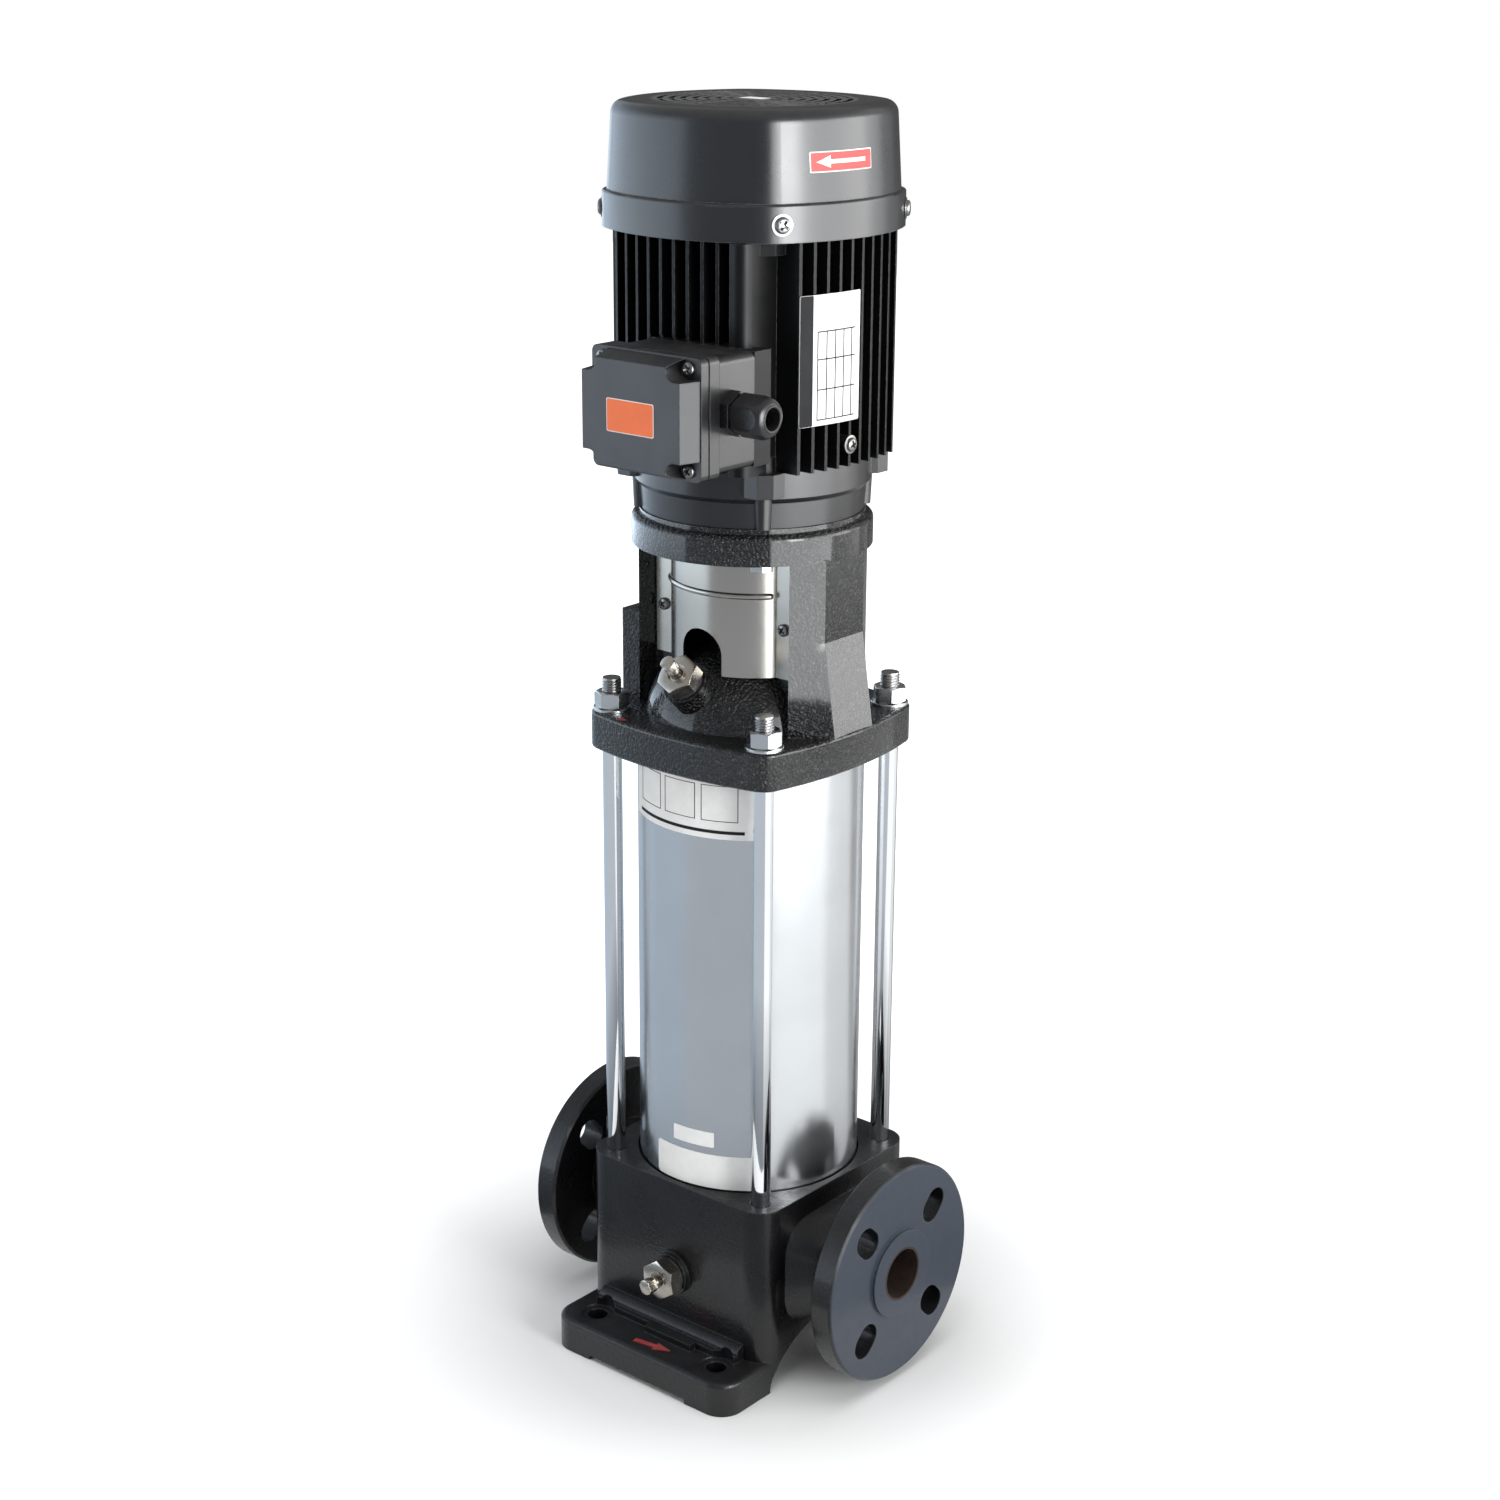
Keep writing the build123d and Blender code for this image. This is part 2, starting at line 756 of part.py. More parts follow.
# Pump shaft with a shoulder above the impellers, and the nut that clamps them
with BuildPart() as pump_shaft:
    with BuildSketch(Plane.XY.offset(stack_bottom - nut_height - shaft_r / 2)):
        Circle(shaft_r)
    extrude(amount=stack_top - stack_bottom + nut_height + shaft_r / 2)
    with BuildSketch(Plane.XY.offset(stack_top)):
        Circle(upper_shaft_r)
    extrude(amount=pump_shaft_top - stack_top)
    chamfer(pump_shaft.edges().group_by(Axis.Z)[0], 1)
    chamfer(pump_shaft.edges().group_by(Axis.Z)[-1], 1)
finish(pump_shaft, "pump_shaft")

with BuildPart() as impeller_nut:
    with BuildSketch(Plane.XY.offset(stack_bottom - nut_height)):
        RegularPolygon(shaft_r + nut_wall, 6, major_radius=False)
        Circle(shaft_r + running, mode=Mode.SUBTRACT)
    extrude(amount=nut_height)
finish(impeller_nut, "impeller_nut")

# Shaft seal: the ring turns with the shaft, the seat stands in the dome
with BuildPart() as seal_ring:
    with BuildSketch(Plane.XY.offset(seat_bottom - apart - seal_ring_height)):
        Circle(upper_shaft_r + running + seal_ring_wall)
        Circle(upper_shaft_r + running, mode=Mode.SUBTRACT)
    extrude(amount=seal_ring_height)
finish(seal_ring, "seal_ring")

with BuildPart() as seal_seat:
    with BuildSketch(Plane.XY.offset(seat_bottom)):
        Circle(seal_seat_r)
    extrude(amount=seal_seat_height)
    with BuildSketch(Plane.XY.offset(seal_boss_top)):
        Circle(seal_seat_r + seal_flange_rim)
    extrude(amount=seal_flange_height)
    with BuildSketch(Plane.XY.offset(seat_bottom)):
        Circle(upper_shaft_r + seal_gap)
    extrude(amount=seal_seat_height + seal_flange_height, mode=Mode.SUBTRACT)
finish(seal_seat, "seal_seat")

# Motor stool: flange, dome, vent boss, two faceted pillars and the motor ring
flare_top = stool_top + pillar_flare_height
with BuildPart() as motor_stool:
    with BuildSketch(Plane.XY.offset(stool_bottom)):
        add(convex_square(stool_mid, stool_side_r, stool_corner_r))
    extrude(amount=stool_flange)
    fillet(motor_stool.edges().group_by(Axis.Z)[-1], stool_edge_r)
    fillet(motor_stool.edges().group_by(Axis.Z)[0], stool_edge_r)
    with BuildSketch(Plane.XY.offset(stool_bottom)):
        Circle(spigot_outer_r)
    extrude(amount=-spigot_height)
    # dome over the last chamber, with the seal boss on top
    with BuildSketch(Plane.XZ):
        with BuildLine():
            d1 = Line((0, stool_top - 1), (dome_r, stool_top - 1))
            d2 = ThreePointArc(
                d1 @ 1,
                (dome_shoulder_r, stool_top + dome_shoulder_height),
                (seal_boss_r, stool_top + dome_height),
            )
            d3 = Line(d2 @ 1, (seal_boss_r, seal_boss_top))
            d4 = Line(d3 @ 1, (0, seal_boss_top))
            Line(d4 @ 1, d1 @ 0)
        make_face()
    revolve(axis=Axis.Z)
    # vent boss on its buttress
    with BuildSketch(vent_seat):
        Circle(boss_r)
    extrude(amount=-boss_depth)
    with BuildSketch(Plane.XY.offset(stool_top - 1)):
        with Locations((0, -vent_reach + buttress_r)):
            Circle(buttress_r)
    extrude(amount=vent_rise - boss_r / 2)
    # pillars, flared towards the flange
    for side in (1, -1):
        with BuildSketch(Plane.XY.offset(stool_top - 1)):
            add(pillar_outline(side, pillar_flare))
        with BuildSketch(Plane.XY.offset(flare_top)):
            add(pillar_outline(side, 0))
        loft(ruled=True)
        with BuildSketch(Plane.XY.offset(flare_top)):
            add(pillar_outline(side, 0))
        extrude(amount=ring_bottom - flare_top + 1)
    # stepped block on one pillar
    with BuildSketch(Plane.XY.offset(stool_top - 1)):
        with Locations((-block_reach + block_depth / 2, -block_front + block_width / 2)):
            RectangleRounded(block_depth, block_width, pillar_edge_r)
    extrude(amount=pillar_flare_height)
    # ring that the motor stands on
    with BuildSketch(Plane.XZ):
        with BuildLine():
            r1 = Polyline(
                (ring_r - ring_shoulder, motor_seat - ridge_height),
                (ridge_r, motor_seat - ridge_height),
                (ridge_r, motor_seat),
                (spigot_r + fit, motor_seat),
                (spigot_r + fit, ring_bottom),
                (ring_r, ring_bottom),
                (ring_r, motor_seat - ridge_height - ring_shoulder),
            )
            RadiusArc(r1 @ 1, r1 @ 0, -ring_shoulder)
        make_face()
    revolve(axis=Axis.Z)
    # room for the water, the seal and the sleeve
    with BuildSketch(Plane.XZ):
        with BuildLine():
            c1 = Polyline(
                (seal_seat_r + fit, seal_boss_top + 1),
                (0, seal_boss_top + 1),
                (0, stool_bottom - spigot_height - 1),
                (head_cavity_r, stool_bottom - spigot_height - 1),
                (head_cavity_r, head_ledge_z),
                (head_ledge_r, head_ledge_z),
            )
            c2 = ThreePointArc(
                c1 @ 1,
                (dome_shoulder_r - dome_wall, stool_top + dome_shoulder_height - dome_wall),
                (seal_seat_r + fit, stool_top + dome_height - dome_wall),
            )
            Line(c2 @ 1, c1 @ 0)
        make_face()
    revolve(axis=Axis.Z, mode=Mode.SUBTRACT)
    with BuildSketch(Plane.XY.offset(stool_bottom)):
        Circle(recess_r)
        Circle(spigot_outer_r, mode=Mode.SUBTRACT)
    extrude(amount=sleeve_socket_depth, mode=Mode.SUBTRACT)
    with BuildSketch(Plane.XZ):
        with Locations((spigot_outer_r, stool_bottom - spigot_height / 2)):
            Rectangle(2 * groove_depth, 2 * o_ring_r + 2 * fit)
    revolve(axis=Axis.Z, mode=Mode.SUBTRACT)
    # hollow back of each pillar
    with BuildSketch(Plane.XY.offset(stool_top + vent_rise)):
        for side in (1, -1):
            with Locations((side * (pillar_inner + pocket_depth / 2 - 1), 0)):
                Rectangle(pocket_depth + 2, 2 * pillar_pocket_half)
    extrude(amount=ring_bottom - stool_top - vent_rise, mode=Mode.SUBTRACT)
    # holes for the stay bolts, the motor bolts and the vent plug
    with Locations((0, 0, stool_top)):
        with GridLocations(2 * stay_offset, 2 * stay_offset, 2, 2):
            Hole(stay_r + fit, depth=stool_flange)
    with Locations((0, 0, motor_seat)):
        with GridLocations(2 * motor_bolt_xy, 2 * motor_bolt_xy, 2, 2):
            Hole(motor_bolt_r + fit, depth=ring_height)
    with BuildSketch(vent_seat):
        Circle(plug_thread_r + fit)
    extrude(amount=-plug_thread - fit, mode=Mode.SUBTRACT)
    with BuildSketch(vent_seat):
        Circle(drip_r)
    extrude(amount=-vent_reach / 2, mode=Mode.SUBTRACT)
    # tapped holes for the guard screws
    for side in (1, -1):
        with BuildSketch(Plane.XZ.offset(side * pillar_tab_half)):
            with Locations(
                (guard_screw_x, stool_top + guard_bottom + guard_screw_height),
                (-guard_screw_x, stool_top + guard_bottom + guard_screw_height),
            ):
                Circle(guard_screw_r + fit)
        extrude(amount=-side * guard_screw_length, mode=Mode.SUBTRACT)
finish(motor_stool, "motor_stool")

# Plugs with their turning spindles, at the drain and at the vent
for place, seat in (("drain", drain_seat), ("vent", vent_seat)):
    hex_back = seat.offset(plug_washer)
    hex_front = seat.offset(plug_washer + plug_hex)
    with BuildPart() as plug:
        with BuildSketch(hex_back):
            RegularPolygon(plug_flats / 2, 6, major_radius=False)
        extrude(amount=plug_hex)
        with BuildSketch(hex_back):
            Circle(plug_thread_r)
        extrude(amount=-plug_washer - plug_thread)
        with BuildSketch(hex_front):
            Circle(spindle_r + running)
        extrude(amount=-plug_hex - plug_washer - plug_thread, mode=Mode.SUBTRACT)
    finish(plug, place + "_plug")
    with BuildPart() as spindle:
        with BuildSketch(hex_front.offset(-spindle_depth)):
            Circle(spindle_r)
        extrude(amount=spindle_depth + spindle_neck)
        with BuildSketch(hex_front.offset(spindle_neck)):
            Circle(spindle_head_r)
            Rectangle(2 * spindle_head_r, spindle_flats, mode=Mode.INTERSECT)
        extrude(amount=spindle_head)
    finish(spindle, place + "_spindle")

with BuildPart() as plug_washers:
    for seat in (drain_seat, vent_seat):
        with BuildSketch(seat):
            Circle(plug_thread_r + plug_washer_rim)
            Circle(plug_thread_r + fit, mode=Mode.SUBTRACT)
        extrude(amount=plug_washer)
finish(plug_washers, "plug_washers")

# Coupling guards: bent sheet with a flat tab on each pillar, the front one cut out over the vent
guard_z = stool_top + guard_bottom
guard_screw_z = guard_z + guard_screw_height
guard_back = pillar_tab_half
guard_bow = guard_reach - guard_sheet - guard_back
guard_bend_r = (guard_half_x**2 + guard_bow**2) / (2 * guard_bow)
guard_centre_y = guard_back + guard_bow - guard_bend_r
for side, name in ((-1, "coupling_guard_front"), (1, "coupling_guard_rear")):
    inner_y = side * guard_back
    outer_y = side * (guard_back + guard_sheet)
    with BuildPart() as guard:
        with BuildSketch(Plane.XY.offset(guard_z)):
            with BuildLine():
                g1 = Line((-guard_edge_x, inner_y), (-guard_half_x, inner_y))
                g2 = ThreePointArc(
                    g1 @ 1, (0, side * (guard_reach - guard_sheet)), (guard_half_x, inner_y)
                )
                g3 = Polyline(
                    g2 @ 1,
                    (guard_edge_x, inner_y),
                    (guard_edge_x, outer_y),
                    (guard_half_x, outer_y),
                )
                g4 = ThreePointArc(g3 @ 1, (0, side * guard_reach), (-guard_half_x, outer_y))
                Polyline(g4 @ 1, (-guard_edge_x, outer_y), g1 @ 0)
            make_face()
        extrude(amount=guard_height)
        # pressed bead with round ends
        bead_start = side * 90 - bead_angle
        bead_ring_r = guard_bend_r + guard_sheet / 2
        bead_middle = (0, side * guard_centre_y, guard_z + bead_height)
        start_x, start_y = polar(bead_ring_r, bead_start)
        end_x, end_y = polar(bead_ring_r, bead_start + 2 * bead_angle)
        outward = polar(1, bead_start)
        bead_plane = Plane(
            origin=(start_x, start_y + bead_middle[1], bead_middle[2]),
            x_dir=(outward[0], outward[1], 0),
            z_dir=(-outward[1], outward[0], 0),
        )
        with BuildSketch(bead_plane):
            Circle(bead_r)
        revolve(axis=Axis(bead_middle, (0, 0, 1)), revolution_arc=2 * bead_angle)
        with Locations(
            (start_x, start_y + bead_middle[1], bead_middle[2]),
            (end_x, end_y + bead_middle[1], bead_middle[2]),
        ):
            Sphere(bead_r)
        if side < 0:
            with BuildSketch(Plane.XZ):
                arch_centre = stool_top + guard_arch_top - guard_arch_half
                with Locations((0, arch_centre)):
                    Circle(guard_arch_half)
                with Locations((0, (arch_centre + guard_z) / 2 - 1)):
                    Rectangle(2 * guard_arch_half, arch_centre - guard_z + 2)
            extrude(amount=2 * guard_reach, mode=Mode.SUBTRACT)
        with BuildSketch(Plane.XZ):
            with Locations((guard_screw_x, guard_screw_z), (-guard_screw_x, guard_screw_z)):
                Circle(guard_screw_r + fit)
        extrude(amount=-side * 2 * guard_reach, mode=Mode.SUBTRACT)
    finish(guard, name)

with BuildPart() as guard_screws:
    for side in (1, -1):
        with BuildSketch(Plane.XZ.offset(side * (guard_back + guard_sheet))):
            with Locations((guard_screw_x, guard_screw_z), (-guard_screw_x, guard_screw_z)):
                Circle(screw_head_r)
        extrude(amount=side * screw_head)
        with BuildSketch(Plane.XZ.offset(side * (guard_back + guard_sheet))):
            with Locations((guard_screw_x, guard_screw_z), (-guard_screw_x, guard_screw_z)):
                Circle(guard_screw_r)
        extrude(amount=-side * guard_screw_length)
finish(guard_screws, "guard_screws")

# Split coupling between the two shafts, and its screws
coupling_change = coupling_bottom + coupling_grip + shaft_end_gap / 2
coupling_screw_levels = (coupling_bottom + coupling_screw_inset, coupling_top - coupling_screw_inset)
coupling_screw_places = [
    (x, z) for x in (coupling_screw_x, -coupling_screw_x) for z in coupling_screw_levels
]
with BuildPart() as shaft_coupling:
    with BuildSketch(Plane.XY.offset(coupling_bottom)):
        Circle(coupling_r)
    extrude(amount=coupling_top - coupling_bottom)
    chamfer(shaft_coupling.edges().filter_by(GeomType.CIRCLE), 1)
    with BuildSketch(Plane.XY.offset(coupling_bottom)):
        Circle(upper_shaft_r + fit)
    extrude(amount=coupling_change - coupling_bottom, mode=Mode.SUBTRACT)
    with BuildSketch(Plane.XY.offset(coupling_change)):
        Circle(motor_shaft_r + fit)
    extrude(amount=coupling_top - coupling_change, mode=Mode.SUBTRACT)
    with BuildSketch(Plane.XY.offset(coupling_bottom)):
        Rectangle(4 * coupling_r, coupling_split)
    extrude(amount=coupling_top - coupling_bottom, mode=Mode.SUBTRACT)
    with BuildSketch(Plane.XZ):
        with Locations(*coupling_screw_places):
            Circle(coupling_screw_r + fit)
    extrude(amount=coupling_r, both=True, mode=Mode.SUBTRACT)
    with BuildSketch(Plane.XZ.offset(coupling_seat_y)):
        with Locations(*coupling_screw_places):
            Circle(coupling_head_r + apart)
    extrude(amount=coupling_r, mode=Mode.SUBTRACT)
finish(shaft_coupling, "shaft_coupling")

with BuildPart() as coupling_screws:
    with BuildSketch(Plane.XZ.offset(coupling_seat_y)):
        with Locations(*coupling_screw_places):
            Circle(coupling_head_r)
    extrude(amount=coupling_head)
    with BuildSketch(Plane.XZ.offset(coupling_seat_y)):
        with Locations(*coupling_screw_places):
            Circle(coupling_screw_r)
    extrude(amount=-coupling_screw_length)
finish(coupling_screws, "coupling_screws")

# Bolts that hold the motor on the stool ring
with BuildPart() as motor_bolts:
    with BuildSketch(Plane.XY.offset(ring_bottom)):
        with GridLocations(2 * motor_bolt_xy, 2 * motor_bolt_xy, 2, 2):
            RegularPolygon(motor_bolt_flats / 2, 6, major_radius=False, rotation=15)
    extrude(amount=-motor_bolt_head)
    with BuildSketch(Plane.XY.offset(ring_bottom)):
        with GridLocations(2 * motor_bolt_xy, 2 * motor_bolt_xy, 2, 2):
            Circle(motor_bolt_r)
    extrude(amount=ring_height + motor_bolt_grip)
finish(motor_bolts, "motor_bolts")

# Drive-end shield with its four corner lugs
shield_spigot_r = frame_bore_r - fit
housing_r = bearing_r + fit
with BuildPart() as drive_endshield:
    with BuildSketch(Plane.XZ):
        with BuildLine():
            Polyline(
                (motor_shaft_r + 1, motor_seat - spigot_depth),
                (spigot_r, motor_seat - spigot_depth),
                (spigot_r, motor_seat),
                (shield_r, motor_seat),
                (shield_r + 1, frame_bottom - shield_rim - shield_cone),
                (shield_rim_r, frame_bottom - shield_rim),
                (shield_rim_r, frame_bottom),
                (shield_spigot_r, frame_bottom),
                (shield_spigot_r, frame_bottom + end_spigot),
                (shield_spigot_r - shield_wall, frame_bottom + end_spigot),
                (shield_spigot_r - shield_wall, lower_bearing),
                (housing_r + bearing_housing_wall, lower_bearing),
                (housing_r + bearing_housing_wall, lower_bearing + bearing_width),
                (housing_r, lower_bearing + bearing_width),
                (housing_r, lower_bearing),
                (motor_shaft_r + 1, lower_bearing),
                close=True,
            )
        make_face()
    revolve(axis=Axis.Z)
    with BuildSketch(Plane.XY.offset(frame_bottom - lug_height)):
        with GridLocations(2 * corner_xy, 2 * corner_xy, 2, 2):
            RegularPolygon(lug_half, 8, major_radius=False, rotation=22.5)
        Circle(shield_spigot_r, mode=Mode.SUBTRACT)
    extrude(amount=lug_height)
    with BuildSketch(Plane.XY.offset(frame_bottom - lug_height)):
        with GridLocations(sqrt(2) * lug_rib_reach, sqrt(2) * lug_rib_reach, 2, 2):
            Circle(lug_rib_r)
    extrude(amount=-(shield_height - lug_height), taper=lug_rib_draft)
    with Locations((0, 0, frame_bottom)):
        with GridLocations(2 * corner_xy, 2 * corner_xy, 2, 2):
            Hole(tie_bolt_r + fit, depth=tie_bolt_grip + fit)
    with BuildSketch(Plane.XY.offset(motor_seat)):
        with GridLocations(2 * motor_bolt_xy, 2 * motor_bolt_xy, 2, 2):
            Circle(motor_bolt_r + fit)
    extrude(amount=motor_bolt_grip + fit, mode=Mode.SUBTRACT)
finish(drive_endshield, "drive_endshield")

# Ribbed motor frame, drawn as one section, with its corner bosses and pads
earth_plane = Plane(
    origin=(0, earth_y, frame_bottom + earth_height), x_dir=(0, 1, 0), z_dir=(1, 0, 0)
)
with BuildPart() as motor_frame:
    with BuildSketch(Plane.XY.offset(frame_bottom)):
        with PolarLocations(fin_mid / 2, 4):
            with GridLocations(0, fin_pitch, 1, fin_count):
                Rectangle(fin_mid, fin_thickness)
        add(convex_square(fin_mid, fin_side_r, fin_corner_r), mode=Mode.INTERSECT)
        Circle(frame_bore_r + frame_wall)
        with GridLocations(2 * corner_xy, 2 * corner_xy, 2, 2):
            Circle(column_r)
        with Locations((side_pad_x, side_pad_round + side_pad_depth / 2 - side_pad_y)):
            Rectangle(side_pad_width, side_pad_depth)
        with Locations((side_pad_x - side_pad_round / 2, side_pad_depth / 2 - side_pad_y)):
            Rectangle(side_pad_width - side_pad_round, side_pad_depth)
        with Locations(
            (side_pad_x + side_pad_width / 2 - side_pad_round, side_pad_round - side_pad_y)
        ):
            Circle(side_pad_round)
        Circle(frame_bore_r, mode=Mode.SUBTRACT)
        with GridLocations(2 * corner_xy, 2 * corner_xy, 2, 2):
            Circle(tie_bolt_r + fit, mode=Mode.SUBTRACT)
    extrude(amount=frame_length)
    with BuildSketch(Plane.XY.offset(frame_bottom)):
        with GridLocations(2 * corner_xy, 2 * corner_xy, 2, 2):
            Circle(corner_boss_r)
            Circle(tie_bolt_r + fit, mode=Mode.SUBTRACT)
        Circle(frame_bore_r + frame_wall / 2, mode=Mode.SUBTRACT)
    extrude(amount=corner_boss_height)
    with BuildSketch(Plane.XY.offset(frame_top)):
        with GridLocations(2 * corner_xy, 2 * corner_xy, 2, 2):
            RegularPolygon(lug_half, 8, major_radius=False, rotation=22.5)
            Circle(tie_bolt_r + fit, mode=Mode.SUBTRACT)
        Circle(frame_bore_r + frame_wall / 2, mode=Mode.SUBTRACT)
    extrude(amount=-corner_boss_height)
    with BuildSketch(box_plane.offset(box_back)):
        Rectangle(box_width - 2 * box_rim_step, box_height - 2 * box_rim_step)
    extrude(amount=-(box_back - frame_bore_r) + 1)
    with BuildSketch(box_plane.offset(box_back)):
        Rectangle(box_width, box_height)
    extrude(amount=box_depth, mode=Mode.SUBTRACT)
    with BuildSketch(box_plane.offset(box_back)):
        with Locations((-box_offset, -wire_hole_drop)):
            Circle(wire_hole_r)
    extrude(amount=-box_back / 2, mode=Mode.SUBTRACT)
    # room for the rim of the fan cover
    with BuildSketch(Plane.XY.offset(cover_bottom - apart)):
        Rectangle(4 * cover_mid, 4 * cover_mid)
        add(cover_outline(cover_wall + apart), mode=Mode.SUBTRACT)
    extrude(amount=cover_overlap + apart, mode=Mode.SUBTRACT)
    with BuildSketch(earth_plane.offset(frame_bore_r + frame_wall / 2)):
        Circle(earth_boss_r)
    extrude(amount=earth_boss_reach - frame_bore_r - frame_wall / 2)
    with BuildSketch(earth_plane.offset(earth_boss_reach)):
        Circle(earth_hole_r)
    extrude(amount=-earth_hole_depth, mode=Mode.SUBTRACT)
finish(motor_frame, "motor_frame")

# Stator and windings inside the frame
with BuildPart() as stator_core:
    with BuildSketch(Plane.XY.offset(stator_bottom)):
        Circle(frame_bore_r - fit)
        Circle(stator_inner_r, mode=Mode.SUBTRACT)
    extrude(amount=stator_length)
finish(stator_core, "stator_core")

winding_outer_r = frame_bore_r - fit - shield_wall - winding_gap
with BuildPart() as stator_windings:
    for level in (stator_bottom - winding_length, stator_top):
        with BuildSketch(Plane.XY.offset(level)):
            Circle(winding_outer_r)
            Circle(winding_outer_r - winding_wall, mode=Mode.SUBTRACT)
        extrude(amount=winding_length)
finish(stator_windings, "stator_windings")

# Motor shaft with its rotor core, and the two bearings
with BuildPart() as motor_shaft:
    with BuildSketch(Plane.XY.offset(motor_shaft_bottom)):
        Circle(motor_shaft_r)
    extrude(amount=lower_bearing - motor_shaft_bottom)
    with BuildSketch(Plane.XY.offset(lower_bearing)):
        Circle(bearing_shaft_r)
    extrude(amount=upper_bearing + bearing_width - lower_bearing)
    with BuildSketch(Plane.XY.offset(frame_top)):
        Circle(fan_shaft_r)
    extrude(amount=fan_top - frame_top + 1)
    chamfer(motor_shaft.edges().group_by(Axis.Z)[0], 1)
finish(motor_shaft, "motor_shaft")

with BuildPart() as rotor_core:
    with BuildSketch(Plane.XY.offset(stator_bottom)):
        Circle(rotor_r)
        Circle(bearing_shaft_r + running, mode=Mode.SUBTRACT)
    extrude(amount=stator_length)
finish(rotor_core, "rotor_core")

with BuildPart() as motor_bearings:
    for level in (lower_bearing, upper_bearing):
        with BuildSketch(Plane.XY.offset(level)):
            Circle(bearing_r)
            Circle(bearing_shaft_r + running, mode=Mode.SUBTRACT)
        extrude(amount=bearing_width)
finish(motor_bearings, "motor_bearings")

# Fan-end shield with the lugs that hold the cover, and the long tie bolts
cover_corner = corner_centre(cover_mid, cover_side_r, cover_corner_r)
cover_lug_end = cover_corner_r - cover_wall - cover_lug_gap
cover_screw_z = cover_bottom + cover_screw_height
cover_screw_planes = [
    Plane(
        origin=(across * cover_corner, along * cover_corner, cover_screw_z),
        x_dir=(-along * sin(radians(cover_screw_turn)), across * cos(radians(cover_screw_turn)), 0),
        z_dir=(across * cos(radians(cover_screw_turn)), along * sin(radians(cover_screw_turn)), 0),
    )
    for across, along in four_corners
]
with BuildPart() as fan_endshield:
    with BuildSketch(Plane.XY.offset(frame_top)):
        add(cover_outline(cover_wall + cover_lug_gap))
        Circle(fan_shaft_r + 1, mode=Mode.SUBTRACT)
    extrude(amount=end_plate)
    with BuildSketch(Plane.XY.offset(frame_top)):
        Circle(shield_spigot_r)
        Circle(shield_spigot_r - shield_wall, mode=Mode.SUBTRACT)
    extrude(amount=-end_spigot)
    with BuildSketch(Plane.XY.offset(frame_top)):
        Circle(housing_r + bearing_housing_wall)
        Circle(housing_r, mode=Mode.SUBTRACT)
    extrude(amount=-bearing_width)
    for screw_plane in cover_screw_planes:
        with BuildSketch(screw_plane.offset(cover_lug_end - cover_lug_length)):
            Rectangle(cover_lug_width, cover_lug_height)
        extrude(amount=cover_lug_length)
        with BuildSketch(screw_plane.offset(cover_lug_end)):
            Circle(cover_screw_r + fit)
        extrude(amount=-cover_lug_length, mode=Mode.SUBTRACT)
    with Locations((0, 0, plate_top)):
        with GridLocations(2 * corner_xy, 2 * corner_xy, 2, 2):
            Hole(tie_bolt_r + fit, depth=end_plate)
finish(fan_endshield, "fan_endshield")

with BuildPart() as tie_bolts:
    with BuildSketch(Plane.XY.offset(plate_top)):
        with GridLocations(2 * corner_xy, 2 * corner_xy, 2, 2):
            RegularPolygon(tie_bolt_flats / 2, 6, major_radius=False)
    extrude(amount=tie_bolt_head)
    with BuildSketch(Plane.XY.offset(plate_top)):
        with GridLocations(2 * corner_xy, 2 * corner_xy, 2, 2):
            Circle(tie_bolt_r)
    extrude(amount=-(plate_top - frame_bottom + tie_bolt_grip))
finish(tie_bolts, "tie_bolts")

# Cooling fan on the motor shaft
with BuildPart() as cooling_fan:
    with BuildSketch(Plane.XY.offset(fan_bottom)):
        Circle(fan_r)
    extrude(amount=fan_disc)
    with BuildSketch(Plane.XY.offset(fan_bottom)):
        with PolarLocations(fan_r / 2, fan_vanes):
            Rectangle(fan_r - 1, fan_vane)
        Circle(fan_shaft_r + fan_hub_wall)
    extrude(amount=fan_hub_height)
    with BuildSketch(Plane.XY.offset(fan_bottom)):
        Circle(fan_shaft_r + running)
    extrude(amount=fan_hub_height, mode=Mode.SUBTRACT)
finish(cooling_fan, "cooling_fan")

